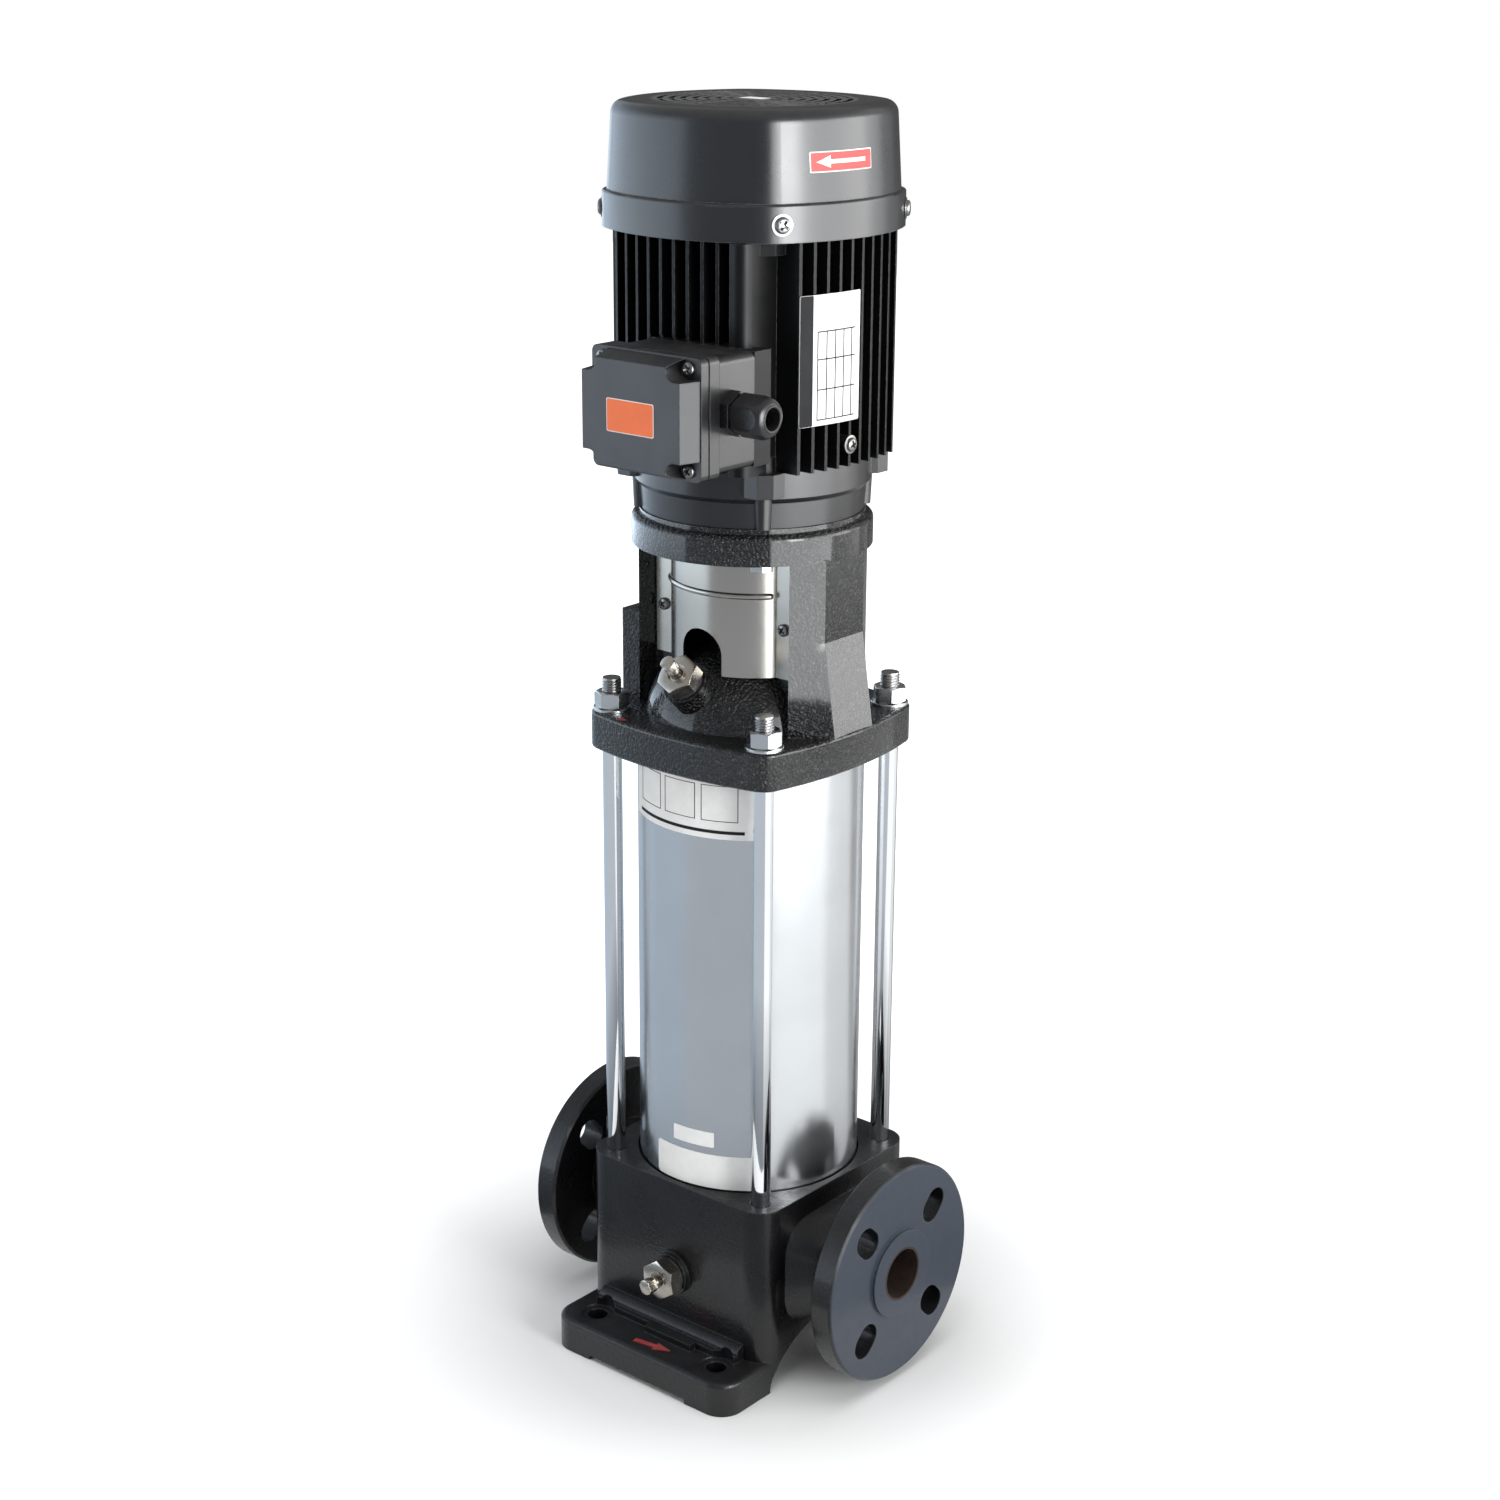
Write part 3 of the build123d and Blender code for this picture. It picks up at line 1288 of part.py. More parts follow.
# Fan cover: plain band, drafted hood with a round edge, and the ring grille
band_top = cover_bottom + cover_band
hood_draw_in = (cover_height - cover_band) * tan(radians(cover_draft))
with BuildPart() as fan_cover:
    with BuildSketch(Plane.XY.offset(cover_bottom)):
        add(cover_outline(0))
    extrude(amount=cover_band)
    fillet(fan_cover.edges().group_by(Axis.Z)[-1], cover_band_edge_r)
    with BuildSketch(Plane.XY.offset(band_top)):
        add(cover_outline(cover_step))
    extrude(amount=cover_height - cover_band, taper=cover_draft)
    fillet(fan_cover.edges().group_by(Axis.Z)[-1], cover_top_r)
    with BuildSketch(Plane.XY.offset(cover_bottom)):
        add(cover_outline(cover_wall))
    extrude(amount=cover_band - cover_wall, mode=Mode.SUBTRACT)
    with BuildSketch(Plane.XY.offset(band_top - cover_wall)):
        add(cover_outline(cover_step + cover_wall))
    extrude(amount=cover_height - cover_band - cover_top_r, taper=cover_draft, mode=Mode.SUBTRACT)
    with BuildSketch(Plane.XY.offset(cover_top - cover_wall)):
        add(cover_outline(cover_step + cover_wall + hood_draw_in + cover_top_r / 2))
    extrude(amount=-cover_top_r, mode=Mode.SUBTRACT)
    with BuildSketch(Plane.XY.offset(cover_top)):
        for ring in reversed(range(grille_rings)):
            Circle(grille_hub_r + ring * grille_pitch + grille_slot)
            Circle(grille_hub_r + ring * grille_pitch, mode=Mode.SUBTRACT)
        with PolarLocations(0, grille_spokes // 2, angular_range=180):
            Rectangle(4 * cover_mid, grille_spoke, mode=Mode.SUBTRACT)
    extrude(amount=-2 * cover_wall, mode=Mode.SUBTRACT)
    for screw_plane in cover_screw_planes:
        with BuildSketch(screw_plane.offset(cover_lug_end)):
            Circle(cover_screw_r + fit)
        extrude(amount=4 * cover_wall, mode=Mode.SUBTRACT)
finish(fan_cover, "fan_cover")

with BuildPart() as fan_cover_screws:
    for screw_plane in cover_screw_planes:
        with BuildSketch(screw_plane.offset(cover_corner_r)):
            Circle(cover_head_r)
        extrude(amount=cover_head)
        with BuildSketch(screw_plane.offset(cover_corner_r)):
            Circle(cover_screw_r)
        extrude(amount=-cover_screw_length)
finish(fan_cover_screws, "fan_cover_screws")

# Terminal box with its gasket, lid, screws and terminal block
cavity_width = box_width - 2 * (box_rim_step + box_wall)
cavity_height = box_height - 2 * (box_rim_step + box_wall)
with BuildPart() as terminal_box:
    with BuildSketch(box_plane.offset(box_back)):
        RectangleRounded(box_width - 2 * box_rim_step, box_height - 2 * box_rim_step, box_corner_r)
    extrude(amount=box_depth)
    with BuildSketch(box_plane.offset(box_back + box_depth)):
        RectangleRounded(box_width, box_height, box_corner_r)
    extrude(amount=box_rim)
    with BuildSketch(box_plane.offset(box_lip)):
        Rectangle(cavity_width, cavity_height)
        with GridLocations(2 * lid_screw_x, 2 * lid_screw_z, 2, 2):
            Circle(lid_post_r, mode=Mode.SUBTRACT)
    extrude(amount=-(box_depth + box_rim - box_floor), mode=Mode.SUBTRACT)
    with BuildSketch(box_plane.offset(box_back)):
        with Locations((-box_offset, -wire_hole_drop)):
            Circle(wire_hole_r)
    extrude(amount=box_floor, mode=Mode.SUBTRACT)
    with BuildSketch(box_plane.offset(box_lip)):
        with GridLocations(2 * lid_screw_x, 2 * lid_screw_z, 2, 2):
            Circle(lid_screw_r + fit)
    extrude(amount=-lid_screw_length, mode=Mode.SUBTRACT)
    with BuildSketch(gland_plane.offset(gland_root)):
        Circle(gland_thread_r + fit)
    extrude(amount=-2 * box_wall, mode=Mode.SUBTRACT)
finish(terminal_box, "terminal_box")

with BuildPart() as terminal_gasket:
    with BuildSketch(box_plane.offset(box_lip)):
        Rectangle(box_width - 2 * box_rim_step, box_height - 2 * box_rim_step)
        Rectangle(cavity_width, cavity_height, mode=Mode.SUBTRACT)
        with GridLocations(2 * lid_screw_x, 2 * lid_screw_z, 2, 2):
            Circle(lid_post_r)
            Circle(lid_screw_r + fit, mode=Mode.SUBTRACT)
    extrude(amount=gasket)
finish(terminal_gasket, "terminal_gasket")

with BuildPart() as terminal_lid:
    with BuildSketch(box_plane.offset(lid_back)):
        RectangleRounded(box_width, box_height, box_corner_r)
    extrude(amount=lid_flange)
    with BuildSketch(box_plane.offset(lid_back + lid_flange)):
        RectangleRounded(box_width - box_rim_step, box_height - box_rim_step, box_corner_r)
    extrude(amount=lid_depth, taper=lid_draft)
    with BuildSketch(box_plane.offset(lid_front)):
        for x, z in four_corners:
            with Locations((x * lid_screw_x, z * lid_screw_z)):
                Circle(lid_pocket_r)
            with Locations((x * (lid_screw_x + lid_pocket_r), z * lid_screw_z)):
                Rectangle(2 * lid_pocket_r, 2 * lid_pocket_r)
    extrude(amount=-lid_depth, mode=Mode.SUBTRACT)
    with BuildSketch(box_plane.offset(lid_back)):
        Rectangle(cavity_width, cavity_height)
        for x, z in four_corners:
            with Locations((x * lid_screw_x, z * lid_screw_z)):
                Circle(lid_pocket_r + lid_wall, mode=Mode.SUBTRACT)
            with Locations((x * (lid_screw_x + lid_pocket_r), z * lid_screw_z)):
                Rectangle(2 * lid_pocket_r, 2 * (lid_pocket_r + lid_wall), mode=Mode.SUBTRACT)
    extrude(amount=lid_flange + lid_depth - lid_wall, taper=lid_draft / 2, mode=Mode.SUBTRACT)
    with BuildSketch(box_plane.offset(lid_back)):
        with GridLocations(2 * lid_screw_x, 2 * lid_screw_z, 2, 2):
            Circle(lid_screw_r + fit)
    extrude(amount=lid_flange, mode=Mode.SUBTRACT)
finish(terminal_lid, "terminal_lid")

with BuildPart() as lid_screws:
    with BuildSketch(box_plane.offset(lid_back + lid_flange)):
        with GridLocations(2 * lid_screw_x, 2 * lid_screw_z, 2, 2):
            Circle(screw_head_r)
    extrude(amount=screw_head)
    with BuildSketch(box_plane.offset(lid_back + lid_flange)):
        with GridLocations(2 * lid_screw_x, 2 * lid_screw_z, 2, 2):
            Circle(lid_screw_r)
    extrude(amount=-lid_screw_length)
finish(lid_screws, "lid_screws")

with BuildPart() as terminal_block:
    with BuildSketch(box_plane.offset(box_back + box_floor)):
        with Locations((0, terminal_rise)):
            Rectangle(terminal_width, terminal_height)
    extrude(amount=terminal_depth)
    with BuildSketch(box_plane.offset(box_back + box_floor + terminal_depth)):
        with Locations((0, terminal_rise)):
            with GridLocations(terminal_pitch, terminal_height / 2, 3, 2):
                Circle(terminal_stud_r)
    extrude(amount=terminal_stud)
finish(terminal_block, "terminal_block")

# Cable gland: body in the box wall, rubber seal, dome nut
gland_face = gland_root + gland_hex
gland_bore_r = gland_barrel_r - gland_wall
gland_nut_back = gland_face + gland_nut_start
with BuildPart() as gland_body:
    with BuildSketch(gland_plane.offset(gland_root)):
        RegularPolygon(gland_flats / 2, 6, major_radius=False, rotation=30)
    extrude(amount=gland_hex)
    with BuildSketch(gland_plane.offset(gland_root)):
        Circle(gland_thread_r)
    extrude(amount=-2 * box_wall)
    with BuildSketch(gland_plane.offset(gland_face)):
        Circle(gland_barrel_r)
    extrude(amount=gland_barrel)
    with BuildSketch(gland_plane.offset(gland_root - 2 * box_wall)):
        Circle(gland_mouth_r)
    extrude(amount=2 * box_wall + gland_hex, mode=Mode.SUBTRACT)
    with BuildSketch(gland_plane.offset(gland_face)):
        Circle(gland_bore_r)
    extrude(amount=gland_barrel, mode=Mode.SUBTRACT)
finish(gland_body, "gland_body")

with BuildPart() as gland_seal:
    with BuildSketch(gland_plane.offset(gland_face)):
        Circle(gland_bore_r - fit)
        Circle(gland_seal_r, mode=Mode.SUBTRACT)
    extrude(amount=gland_seal_length)
finish(gland_seal, "gland_seal")

dome_length = gland_nut_length - gland_nut_hex
with BuildPart() as gland_nut:
    with BuildSketch(gland_plane.offset(gland_nut_back)):
        RegularPolygon(gland_flats / 2, 6, major_radius=False)
    extrude(amount=gland_nut_hex)
    with BuildSketch(Plane(origin=gland_plane.offset(gland_nut_back + gland_nut_hex).origin)):
        with BuildLine():
            n1 = Polyline((0, 0), (0, gland_flats / 2))
            n2 = ThreePointArc(
                n1 @ 1,
                (0.6 * dome_length, (gland_flats / 2 + gland_end_r) / 2 + 0.8),
                (dome_length, gland_end_r),
            )
            Polyline(n2 @ 1, (dome_length, 0), (0, 0))
        make_face()
    revolve(axis=Axis(gland_plane.origin, (1, 0, 0)))
    with BuildSketch(gland_plane.offset(gland_nut_back)):
        Circle(gland_barrel_r + fit)
    extrude(amount=gland_barrel - gland_nut_start + fit, mode=Mode.SUBTRACT)
    with BuildSketch(gland_plane.offset(gland_nut_back)):
        Circle(gland_mouth_r)
    extrude(amount=gland_nut_length, mode=Mode.SUBTRACT)
finish(gland_nut, "gland_nut")
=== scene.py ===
"""Vertical multistage pump: finishes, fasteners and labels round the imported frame."""

from __future__ import annotations

import logging
import math
from dataclasses import dataclass, field
from enum import Enum
from typing import Callable, Iterable, Sequence

import bmesh
import bpy
from mathutils import Matrix, Vector
from mathutils.bvhtree import BVHTree

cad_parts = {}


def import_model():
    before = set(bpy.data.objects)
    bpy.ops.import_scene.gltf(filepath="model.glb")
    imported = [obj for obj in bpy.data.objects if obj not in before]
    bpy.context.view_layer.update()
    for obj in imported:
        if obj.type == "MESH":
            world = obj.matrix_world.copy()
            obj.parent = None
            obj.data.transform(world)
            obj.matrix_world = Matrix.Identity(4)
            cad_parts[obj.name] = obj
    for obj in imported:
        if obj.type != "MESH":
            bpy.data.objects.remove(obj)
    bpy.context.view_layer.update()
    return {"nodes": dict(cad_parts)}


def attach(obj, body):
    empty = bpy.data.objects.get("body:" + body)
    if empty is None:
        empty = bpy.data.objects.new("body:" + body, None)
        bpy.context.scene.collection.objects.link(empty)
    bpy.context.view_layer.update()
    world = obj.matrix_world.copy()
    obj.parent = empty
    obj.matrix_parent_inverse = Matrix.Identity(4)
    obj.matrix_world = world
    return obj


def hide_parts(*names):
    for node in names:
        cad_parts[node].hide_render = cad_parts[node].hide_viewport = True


LOG = logging.getLogger("pump")

Colour = tuple[float, float, float]
Point = tuple[float, float, float]
MM = 0.001
POINT_R = 1e-6


# Node trees


class Graph:
    """Adds nodes to a tree and wires them by socket name or number."""

    def __init__(self, tree: bpy.types.NodeTree) -> None:
        """Keep the tree.

        Args:
            tree: The node tree of a material, a world or a group.
        """
        self.tree = tree

    def add(self, kind: str, **inputs: object) -> bpy.types.Node:
        """Add a node and set its properties and inputs.

        Args:
            kind: Blender's name of the node type.
            inputs: Properties of the node, or names of its input sockets with
                underscores for spaces.

        Returns:
            The new node.
        """
        node = self.tree.nodes.new(kind)
        for name, value in inputs.items():
            if hasattr(node, name):
                setattr(node, name, value)
            else:
                node.inputs[name.replace("_", " ")].default_value = value
        return node

    def wire(
        self, source: bpy.types.NodeSocket, node: bpy.types.Node, name: str | int
    ) -> None:
        """Connect an output socket to a node's input of that name or number."""
        self.tree.links.new(source, node.inputs[name])

    def maths(
        self, operation: str, first: object, second: object = 0.0, clamp: bool = False
    ) -> bpy.types.NodeSocket:
        """Add a Math node.

        Args:
            operation: Blender's name of the operation.
            first: A socket or a number.
            second: A socket or a number.
            clamp: Whether the result is held between 0 and 1.

        Returns:
            The value socket.
        """
        node = self.tree.nodes.new("ShaderNodeMath")
        node.operation = operation
        node.use_clamp = clamp
        for index, value in enumerate((first, second)):
            if isinstance(value, bpy.types.NodeSocket):
                self.tree.links.new(value, node.inputs[index])
            else:
                node.inputs[index].default_value = float(value)
        return node.outputs[0]

    def spread(
        self, value: bpy.types.NodeSocket, low: float, high: float, to_low: float, to_high: float
    ) -> bpy.types.NodeSocket:
        """Map a value from one range to another, held at the ends.

        Args:
            value: The socket to map.
            low: Start of the incoming range.
            high: End of the incoming range.
            to_low: Result at low.
            to_high: Result at high.

        Returns:
            The mapped value socket.
        """
        node = self.tree.nodes.new("ShaderNodeMapRange")
        node.clamp = True
        self.tree.links.new(value, node.inputs["Value"])
        for name, number in (
            ("From Min", low),
            ("From Max", high),
            ("To Min", to_low),
            ("To Max", to_high),
        ):
            node.inputs[name].default_value = number
        return node.outputs["Result"]

    def blend(
        self, factor: bpy.types.NodeSocket, first: object, second: object
    ) -> bpy.types.NodeSocket:
        """Mix two colours by a factor.

        Args:
            factor: Socket, 0 gives the first colour and 1 the second.
            first: A colour or a socket.
            second: A colour or a socket.

        Returns:
            The colour socket.
        """
        node = self.tree.nodes.new("ShaderNodeMix")
        node.data_type = "RGBA"
        self.tree.links.new(factor, node.inputs["Factor"])
        for name, value in (("A", first), ("B", second)):
            socket = next(s for s in node.inputs if s.name == name and s.type == "RGBA")
            if isinstance(value, bpy.types.NodeSocket):
                self.tree.links.new(value, socket)
            else:
                socket.default_value = (*value, 1.0)
        return next(s for s in node.outputs if s.type == "RGBA")

    def place(self) -> bpy.types.NodeSocket:
        """Coordinates of the surface in the object's own frame, in metres."""
        return self.tree.nodes.new("ShaderNodeTexCoord").outputs["Object"]

    def split(self, vector: bpy.types.NodeSocket) -> bpy.types.bpy_prop_collection:
        """Separate a vector.

        Args:
            vector: The vector's socket.

        Returns:
            The sockets of its parts, by the names X, Y and Z.
        """
        node = self.tree.nodes.new("ShaderNodeSeparateXYZ")
        self.tree.links.new(vector, node.inputs[0])
        return node.outputs

    def hypotenuse(
        self, first: bpy.types.NodeSocket, second: bpy.types.NodeSocket
    ) -> bpy.types.NodeSocket:
        """Distance that two lengths at right angles make.

        Args:
            first: One length.
            second: The other length.

        Returns:
            The distance's socket.
        """
        squares = [self.maths("MULTIPLY", side, side) for side in (first, second)]
        return self.maths("SQRT", self.maths("ADD", *squares))

    def reach(self, vector: bpy.types.NodeSocket) -> bpy.types.NodeSocket:
        """Measure a vector.

        Args:
            vector: The vector's socket.

        Returns:
            The socket of its length.
        """
        node = self.add("ShaderNodeVectorMath", operation="LENGTH")
        self.wire(vector, node, 0)
        return node.outputs["Value"]

    def noise(self, where: bpy.types.NodeSocket, **inputs: float) -> bpy.types.NodeSocket:
        """Add a noise.

        Args:
            where: Coordinates that it follows.
            inputs: Numbers for its input sockets.

        Returns:
            Its value socket.
        """
        node = self.add("ShaderNodeTexNoise", **inputs)
        self.wire(where, node, "Vector")
        return node.outputs[0]

    def seen(self) -> bpy.types.NodeSocket:
        """Add a mask of the rays of the eye, of gloss and of glass.

        Returns:
            The mask's socket, 1 on those rays.
        """
        rays = self.add("ShaderNodeLightPath").outputs
        mask = self.maths("MAXIMUM", rays["Is Camera Ray"], rays["Is Glossy Ray"])
        return self.maths("MAXIMUM", mask, rays["Is Transmission Ray"])

    def show(self, shader: bpy.types.Node) -> None:
        """Wire a shader to the material's output."""
        output = next(node for node in self.tree.nodes if node.type == "OUTPUT_MATERIAL")
        self.wire(shader.outputs[0], output, "Surface")


class Effects:
    """Shared node groups, each built once."""

    def __init__(self) -> None:
        """Build every group."""
        self.skin = self._make("cast_skin", ("Grain", "Pits"), "Height", self._skin)
        self.mottle = self._make("mottle", ("Scale", "Low", "High"), "Value", self._mottle)
        # Pale edges: rubbed paint, and a painted highlight where the amount is high.
        self.wear_and_highlight = self._make("edge_wear_and_highlight", ("Radius", "Amount"), "Mask", self._wear_and_highlight)
        self.streaks = self._make(
            "rolled_streaks", ("Along", "Across", "Low", "High"), "Value", self._streaks
        )
        self.dust = self._make("settled_dust", ("Amount",), "Mask", self._dust)

    @staticmethod
    def _make(
        name: str,
        inputs: Sequence[str],
        output: str,
        fill: Callable[[Graph, bpy.types.bpy_prop_collection], bpy.types.NodeSocket],
    ) -> bpy.types.NodeTree:
        """Make a group with number sockets and fill it.

        Args:
            name: Name of the group.
            inputs: Names of the input sockets.
            output: Name of the output socket.
            fill: Function that wires the inside from the input sockets and returns its result.

        Returns:
            The node group.
        """
        group = bpy.data.node_groups.new(name, "ShaderNodeTree")
        for label in inputs:
            group.interface.new_socket(label, in_out="INPUT", socket_type="NodeSocketFloat")
        group.interface.new_socket(output, in_out="OUTPUT", socket_type="NodeSocketFloat")
        graph = Graph(group)
        start, end = graph.add("NodeGroupInput"), graph.add("NodeGroupOutput")
        graph.wire(fill(graph, start.outputs), end, output)
        return group

    @staticmethod
    def _between(
        graph: Graph,
        share: bpy.types.NodeSocket,
        given: bpy.types.bpy_prop_collection,
    ) -> bpy.types.NodeSocket:
        """Put a share of 0 to 1 between the group's two limits.

        Args:
            graph: The inside of the group.
            share: The share's socket.
            given: The group's inputs, Low and High among them.

        Returns:
            The value's socket.
        """
        reach = graph.maths("SUBTRACT", given["High"], given["Low"])
        return graph.maths("ADD", graph.maths("MULTIPLY", share, reach), given["Low"])

    @staticmethod
    def _skin(graph: Graph, given: bpy.types.bpy_prop_collection) -> bpy.types.NodeSocket:
        """Sand-cast skin: rounded grains with smaller pits between them.

        Args:
            graph: The inside of the group.
            given: Its inputs: Grain is the grains' scale, Pits how deep the pits are.

        Returns:
            The height's socket.
        """
        finer, soft = 1.35, 0.6
        where = graph.place()
        grains = graph.add("ShaderNodeTexNoise", Detail=1.0, Roughness=0.5)
        graph.wire(where, grains, "Vector")
        graph.wire(given["Grain"], grains, "Scale")
        pits = graph.add("ShaderNodeTexVoronoi", feature="SMOOTH_F1", Smoothness=soft)
        graph.wire(where, pits, "Vector")
        graph.wire(graph.maths("MULTIPLY", given["Grain"], finer), pits, "Scale")
        deep = graph.maths("MULTIPLY", pits.outputs["Distance"], given["Pits"])
        return graph.maths("SUBTRACT", grains.outputs[0], deep)

    @staticmethod
    def _mottle(graph: Graph, given: bpy.types.bpy_prop_collection) -> bpy.types.NodeSocket:
        """Soft uneven value between two limits.

        Args:
            graph: The inside of the group.
            given: Its inputs: Scale of the patches, Low and High.

        Returns:
            The value's socket.
        """
        darkest, lightest = 0.35, 0.65
        patches = graph.add("ShaderNodeTexNoise", Detail=4.0, Roughness=0.6)
        graph.wire(graph.place(), patches, "Vector")
        graph.wire(given["Scale"], patches, "Scale")
        share = graph.spread(patches.outputs[0], darkest, lightest, 0.0, 1.0)
        return Effects._between(graph, share, given)

    @staticmethod
    def _wear_and_highlight(graph: Graph, given: bpy.types.bpy_prop_collection) -> bpy.types.NodeSocket:
        """Mask of pale edges, for rubbed paint and for a painted highlight: where the rounded normal
        leaves the true one.

        Args:
            graph: The inside of the group.
            given: Its inputs: Radius of the edge in metres, Amount of wear and of painted highlight.

        Returns:
            The mask's socket.
        """
        spared, bare, strongest = 0.35, 0.7, 9.0
        bevel = graph.add("ShaderNodeBevel", samples=4)
        graph.wire(given["Radius"], bevel, "Radius")
        dot = graph.add("ShaderNodeVectorMath", operation="DOT_PRODUCT")
        graph.wire(bevel.outputs[0], dot, 0)
        graph.wire(graph.add("ShaderNodeNewGeometry").outputs["Normal"], dot, 1)
        bend = graph.maths("SUBTRACT", 1.0, dot.outputs["Value"])
        spots = graph.noise(graph.place(), Scale=340.0, Detail=3.0)
        rubbed_and_highlit = graph.maths("MULTIPLY", bend, graph.spread(spots, spared, bare, 0.0, strongest))
        return graph.maths("MULTIPLY", rubbed_and_highlit, given["Amount"], True)

    @staticmethod
    def _streaks(graph: Graph, given: bpy.types.bpy_prop_collection) -> bpy.types.NodeSocket:
        """Fine streaks of rolled sheet, long up the object and short across it.

        Args:
            graph: The inside of the group.
            given: Its inputs: scale Along the object and Across it, Low and High.

        Returns:
            The value's socket.
        """
        darkest, lightest = 0.3, 0.7
        scale = graph.add("ShaderNodeCombineXYZ")
        for axis, label in (("X", "Across"), ("Y", "Across"), ("Z", "Along")):
            graph.wire(given[label], scale, axis)
        stretch = graph.add("ShaderNodeVectorMath", operation="MULTIPLY")
        graph.wire(graph.place(), stretch, 0)
        graph.wire(scale.outputs[0], stretch, 1)
        lines = graph.noise(stretch.outputs[0], Scale=1.0, Detail=3.0, Roughness=0.7)
        return Effects._between(graph, graph.spread(lines, darkest, lightest, 0.0, 1.0), given)

    @staticmethod
    def _dust(graph: Graph, given: bpy.types.bpy_prop_collection) -> bpy.types.NodeSocket:
        """Mask of dust that has settled on faces that look up.

        Args:
            graph: The inside of the group.
            given: Its input: Amount of dust.

        Returns:
            The mask's socket.
        """
        steep, level = 0.15, 0.75
        bare, covered, thin = 0.4, 0.65, 0.6
        upward = graph.split(graph.add("ShaderNodeNewGeometry").outputs["Normal"])["Z"]
        facing = graph.spread(upward, steep, level, 0.0, 1.0)
        patches = graph.noise(graph.place(), Scale=60.0, Detail=6.0, Roughness=0.7)
        uneven = graph.spread(patches, bare, covered, thin, 1.0)
        settled = graph.maths("MULTIPLY", facing, uneven)
        return graph.maths("MULTIPLY", settled, given["Amount"], True)


@dataclass(frozen=True)
class Finish:
    """Base of the finishes: a name and the shader's plain values."""

    name: str
    colour: Colour
    roughness: tuple[float, float]
    metallic: float = 0.0
    specular: float = 0.5
    coat: float = 0.0
    coat_roughness: float = 0.1
    mottle_scale: float = 30.0

    def material(self, effects: Effects) -> bpy.types.Material:
        """Build the material.

        Args:
            effects: The shared node groups.

        Returns:
            A new material with its nodes wired.
        """
        material = bpy.data.materials.new(self.name)
        material.use_nodes = True
        material.diffuse_color = (*self.colour, 1.0)
        graph = Graph(material.node_tree)
        shader = material.node_tree.nodes["Principled BSDF"]
        shader.inputs["Base Color"].default_value = (*self.colour, 1.0)
        shader.inputs["Metallic"].default_value = self.metallic
        shader.inputs["Specular IOR Level"].default_value = self.specular
        shader.inputs["Coat Weight"].default_value = self.coat
        shader.inputs["Coat Roughness"].default_value = self.coat_roughness
        self.dress(graph, shader, effects)
        if not shader.inputs["Roughness"].is_linked:
            graph.wire(self.uneven(graph, effects), shader, "Roughness")
        return material

    def patches(
        self, graph: Graph, effects: Effects, scale: float, amount: float
    ) -> bpy.types.NodeSocket:
        """Mask of soft patches.

        Args:
            graph: The material's graph.
            effects: The shared node groups.
            scale: Patches to the metre, more or less.
            amount: The mask's highest value.

        Returns:
            The mask's socket.
        """
        return self.group(graph, effects.mottle, Scale=scale, Low=0.0, High=amount)

    def uneven(self, graph: Graph, effects: Effects) -> bpy.types.NodeSocket:
        """Wire a roughness that wanders between its two limits.

        Args:
            graph: The material's graph.
            effects: The shared node groups.

        Returns:
            The roughness's socket.
        """
        low, high = self.roughness
        return self.group(graph, effects.mottle, Scale=self.mottle_scale, Low=low, High=high)

    def dress(self, graph: Graph, shader: bpy.types.Node, effects: Effects) -> None:
        """Add what this finish has beyond its plain values."""

    @staticmethod
    def group(graph: Graph, tree: bpy.types.NodeTree, **values: float) -> bpy.types.NodeSocket:
        """Place a shared group.

        Args:
            graph: Where the group goes.
            tree: The group's tree.
            values: Numbers for its inputs.

        Returns:
            The group's first output.
        """
        node = graph.add("ShaderNodeGroup")
        node.node_tree = tree
        for label, value in values.items():
            node.inputs[label].default_value = value
        return node.outputs[0]

    @staticmethod
    def rounded(graph: Graph, radius: float) -> bpy.types.NodeSocket:
        """Normal of the surface with its edges rounded by the radius."""
        return graph.add("ShaderNodeBevel", samples=4, Radius=radius).outputs[0]

    @staticmethod
    def bump(
        graph: Graph,
        shader: bpy.types.Node,
        height: bpy.types.NodeSocket,
        depth: float,
        normal: bpy.types.NodeSocket | None = None,
    ) -> None:
        """Feed a height through a Bump node to the shader.

        Args:
            graph: The material's graph.
            shader: The Principled BSDF.
            height: Height socket, about 0 to 1.
            depth: Distance in metres for a height of 1.
            normal: Normal that the bump starts from.
        """
        node = graph.add("ShaderNodeBump", Distance=depth, Strength=1.0)
        graph.wire(height, node, "Height")
        if normal is not None:
            graph.wire(normal, node, "Normal")
        graph.wire(node.outputs[0], shader, "Normal")


